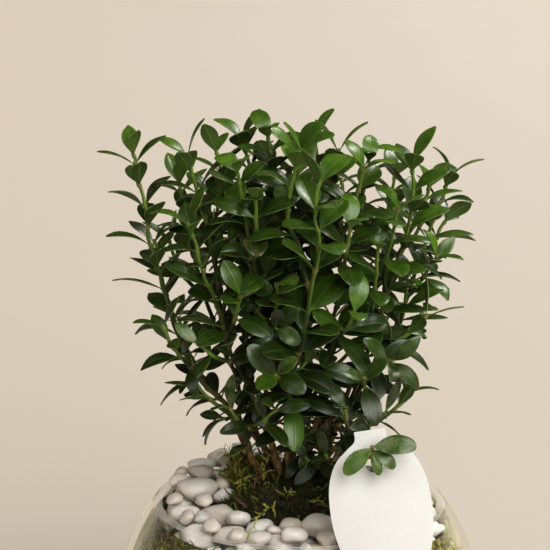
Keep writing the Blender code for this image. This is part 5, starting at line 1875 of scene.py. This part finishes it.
def leafy_sprays():
    rng = random.Random(77)
    for spray in dict.fromkeys([shoot.spray for shoot in shoots] + ["tag_twig"]):
        own, short = ([s for s in some if s.spray == spray] for some in (shoots, spurs))
        leaves = [entry for shoot in own for entry in leaves_of(shoot, rng)]
        mark = 0.0 if spray == "tag_twig" else 0.5  # the twig's leaves have pale flecks
        leaves += [(leaf, rng.random(), 0.25, mark) for name, leaf in singles if name == spray]
        leaves += [entry for spur in short for entry in leaves_of(spur, rng, SPUR_YOUTH)]
        bm = blades(leaves)
        count = len(bm.faces)
        for shoot in own + short:
            add_shoot(bm, shoot, rng)
        if spray == "tag_twig":
            add_tag_twig(bm)
        stems = list(bm.faces)[count:]
        for face in stems:
            face.material_index = len(LEAF_FINISHES)
        bmesh.ops.recalc_face_normals(bm, faces=stems)
        add_piece("spray_" + spray, bm, [*LEAF_FINISHES, bark], "leafy_spray_" + spray,
                  sharp=50.0)


leafy_sprays()

# %% [markdown]
# ## Studio
#
# The bush stands on a wide pale floor under soft light: a large lamp at the right in front, a
# weaker one at the left in front, one from behind at the right, and a low fill from everywhere.
# The camera looks down so far that the floor fills the picture, and so it is the backdrop too.
# Distant lamps light all of it evenly, and the floor's colour carries painted shade at the left and
# towards the camera, and painted light at the right.

# %% Floor and light
FLOOR_RADIUS = 7.0
FILL = ((1.0, 0.90, 0.64, 1.0), 0.07)  # colour and strength


def add_lamp(name, bearing, height, spread, strength, colour):
    """A soft distant lamp at a bearing (0 right, 90 back) and height, in degrees."""
    lamp = show(name, bpy.data.lights.new(name, "SUN"))
    lamp.data.angle, lamp.data.energy, lamp.data.color = math.radians(spread), strength, colour
    rise = math.radians(height)
    out = Vector((*polar(math.cos(rise), math.radians(bearing)), math.sin(rise)))
    lamp.location = out * 2
    aim(lamp, -out)


pale = new_finish("pale_floor", roughness=0.9)
where = pale.parts(pale.place())
cloth = pale.mottled(3.0, 0.05, 0.001)
# The floor is painted darker at the left and towards the camera, painted shade, and lighter at the
# right, painted light.
near = pale.ramp(where["Y"], 3.0, 0.0)
colour = pale.blend(pale.ramp(where["X"], -0.5, 0.7), (0.68, 0.602, 0.528), (0.765, 0.705, 0.632))
pale.set(base_color=pale.layered(colour, (near, 0.5, (0.61, 0.535, 0.455)),
                                 (cloth["Patches"], 0.08, (0.66, 0.59, 0.51))))
disc = bmesh.new()
bmesh.ops.create_circle(disc, cap_ends=True, segments=96, radius=FLOOR_RADIUS)
floor = show("floor", mesh_of(disc, "floor"))
floor.data.materials.append(pale.material)

scene = bpy.context.scene
scene.world = bpy.data.worlds.new("studio")
scene.world.use_nodes = True
fill = scene.world.node_tree.nodes["Background"].inputs
fill["Color"].default_value, fill["Strength"].default_value = FILL
scene.view_settings.view_transform = "Standard"
scene.view_settings.gamma = 0.9
add_lamp("key", -60, 35, 46, 2.9, (1.0, 0.98, 0.95))
add_lamp("left front", -150, 42, 35, 0.6, (1.0, 0.98, 0.96))
add_lamp("right back", 35, 45, 18, 1.7, (1.0, 0.98, 0.95))
print("lamps", len(bpy.data.lights))
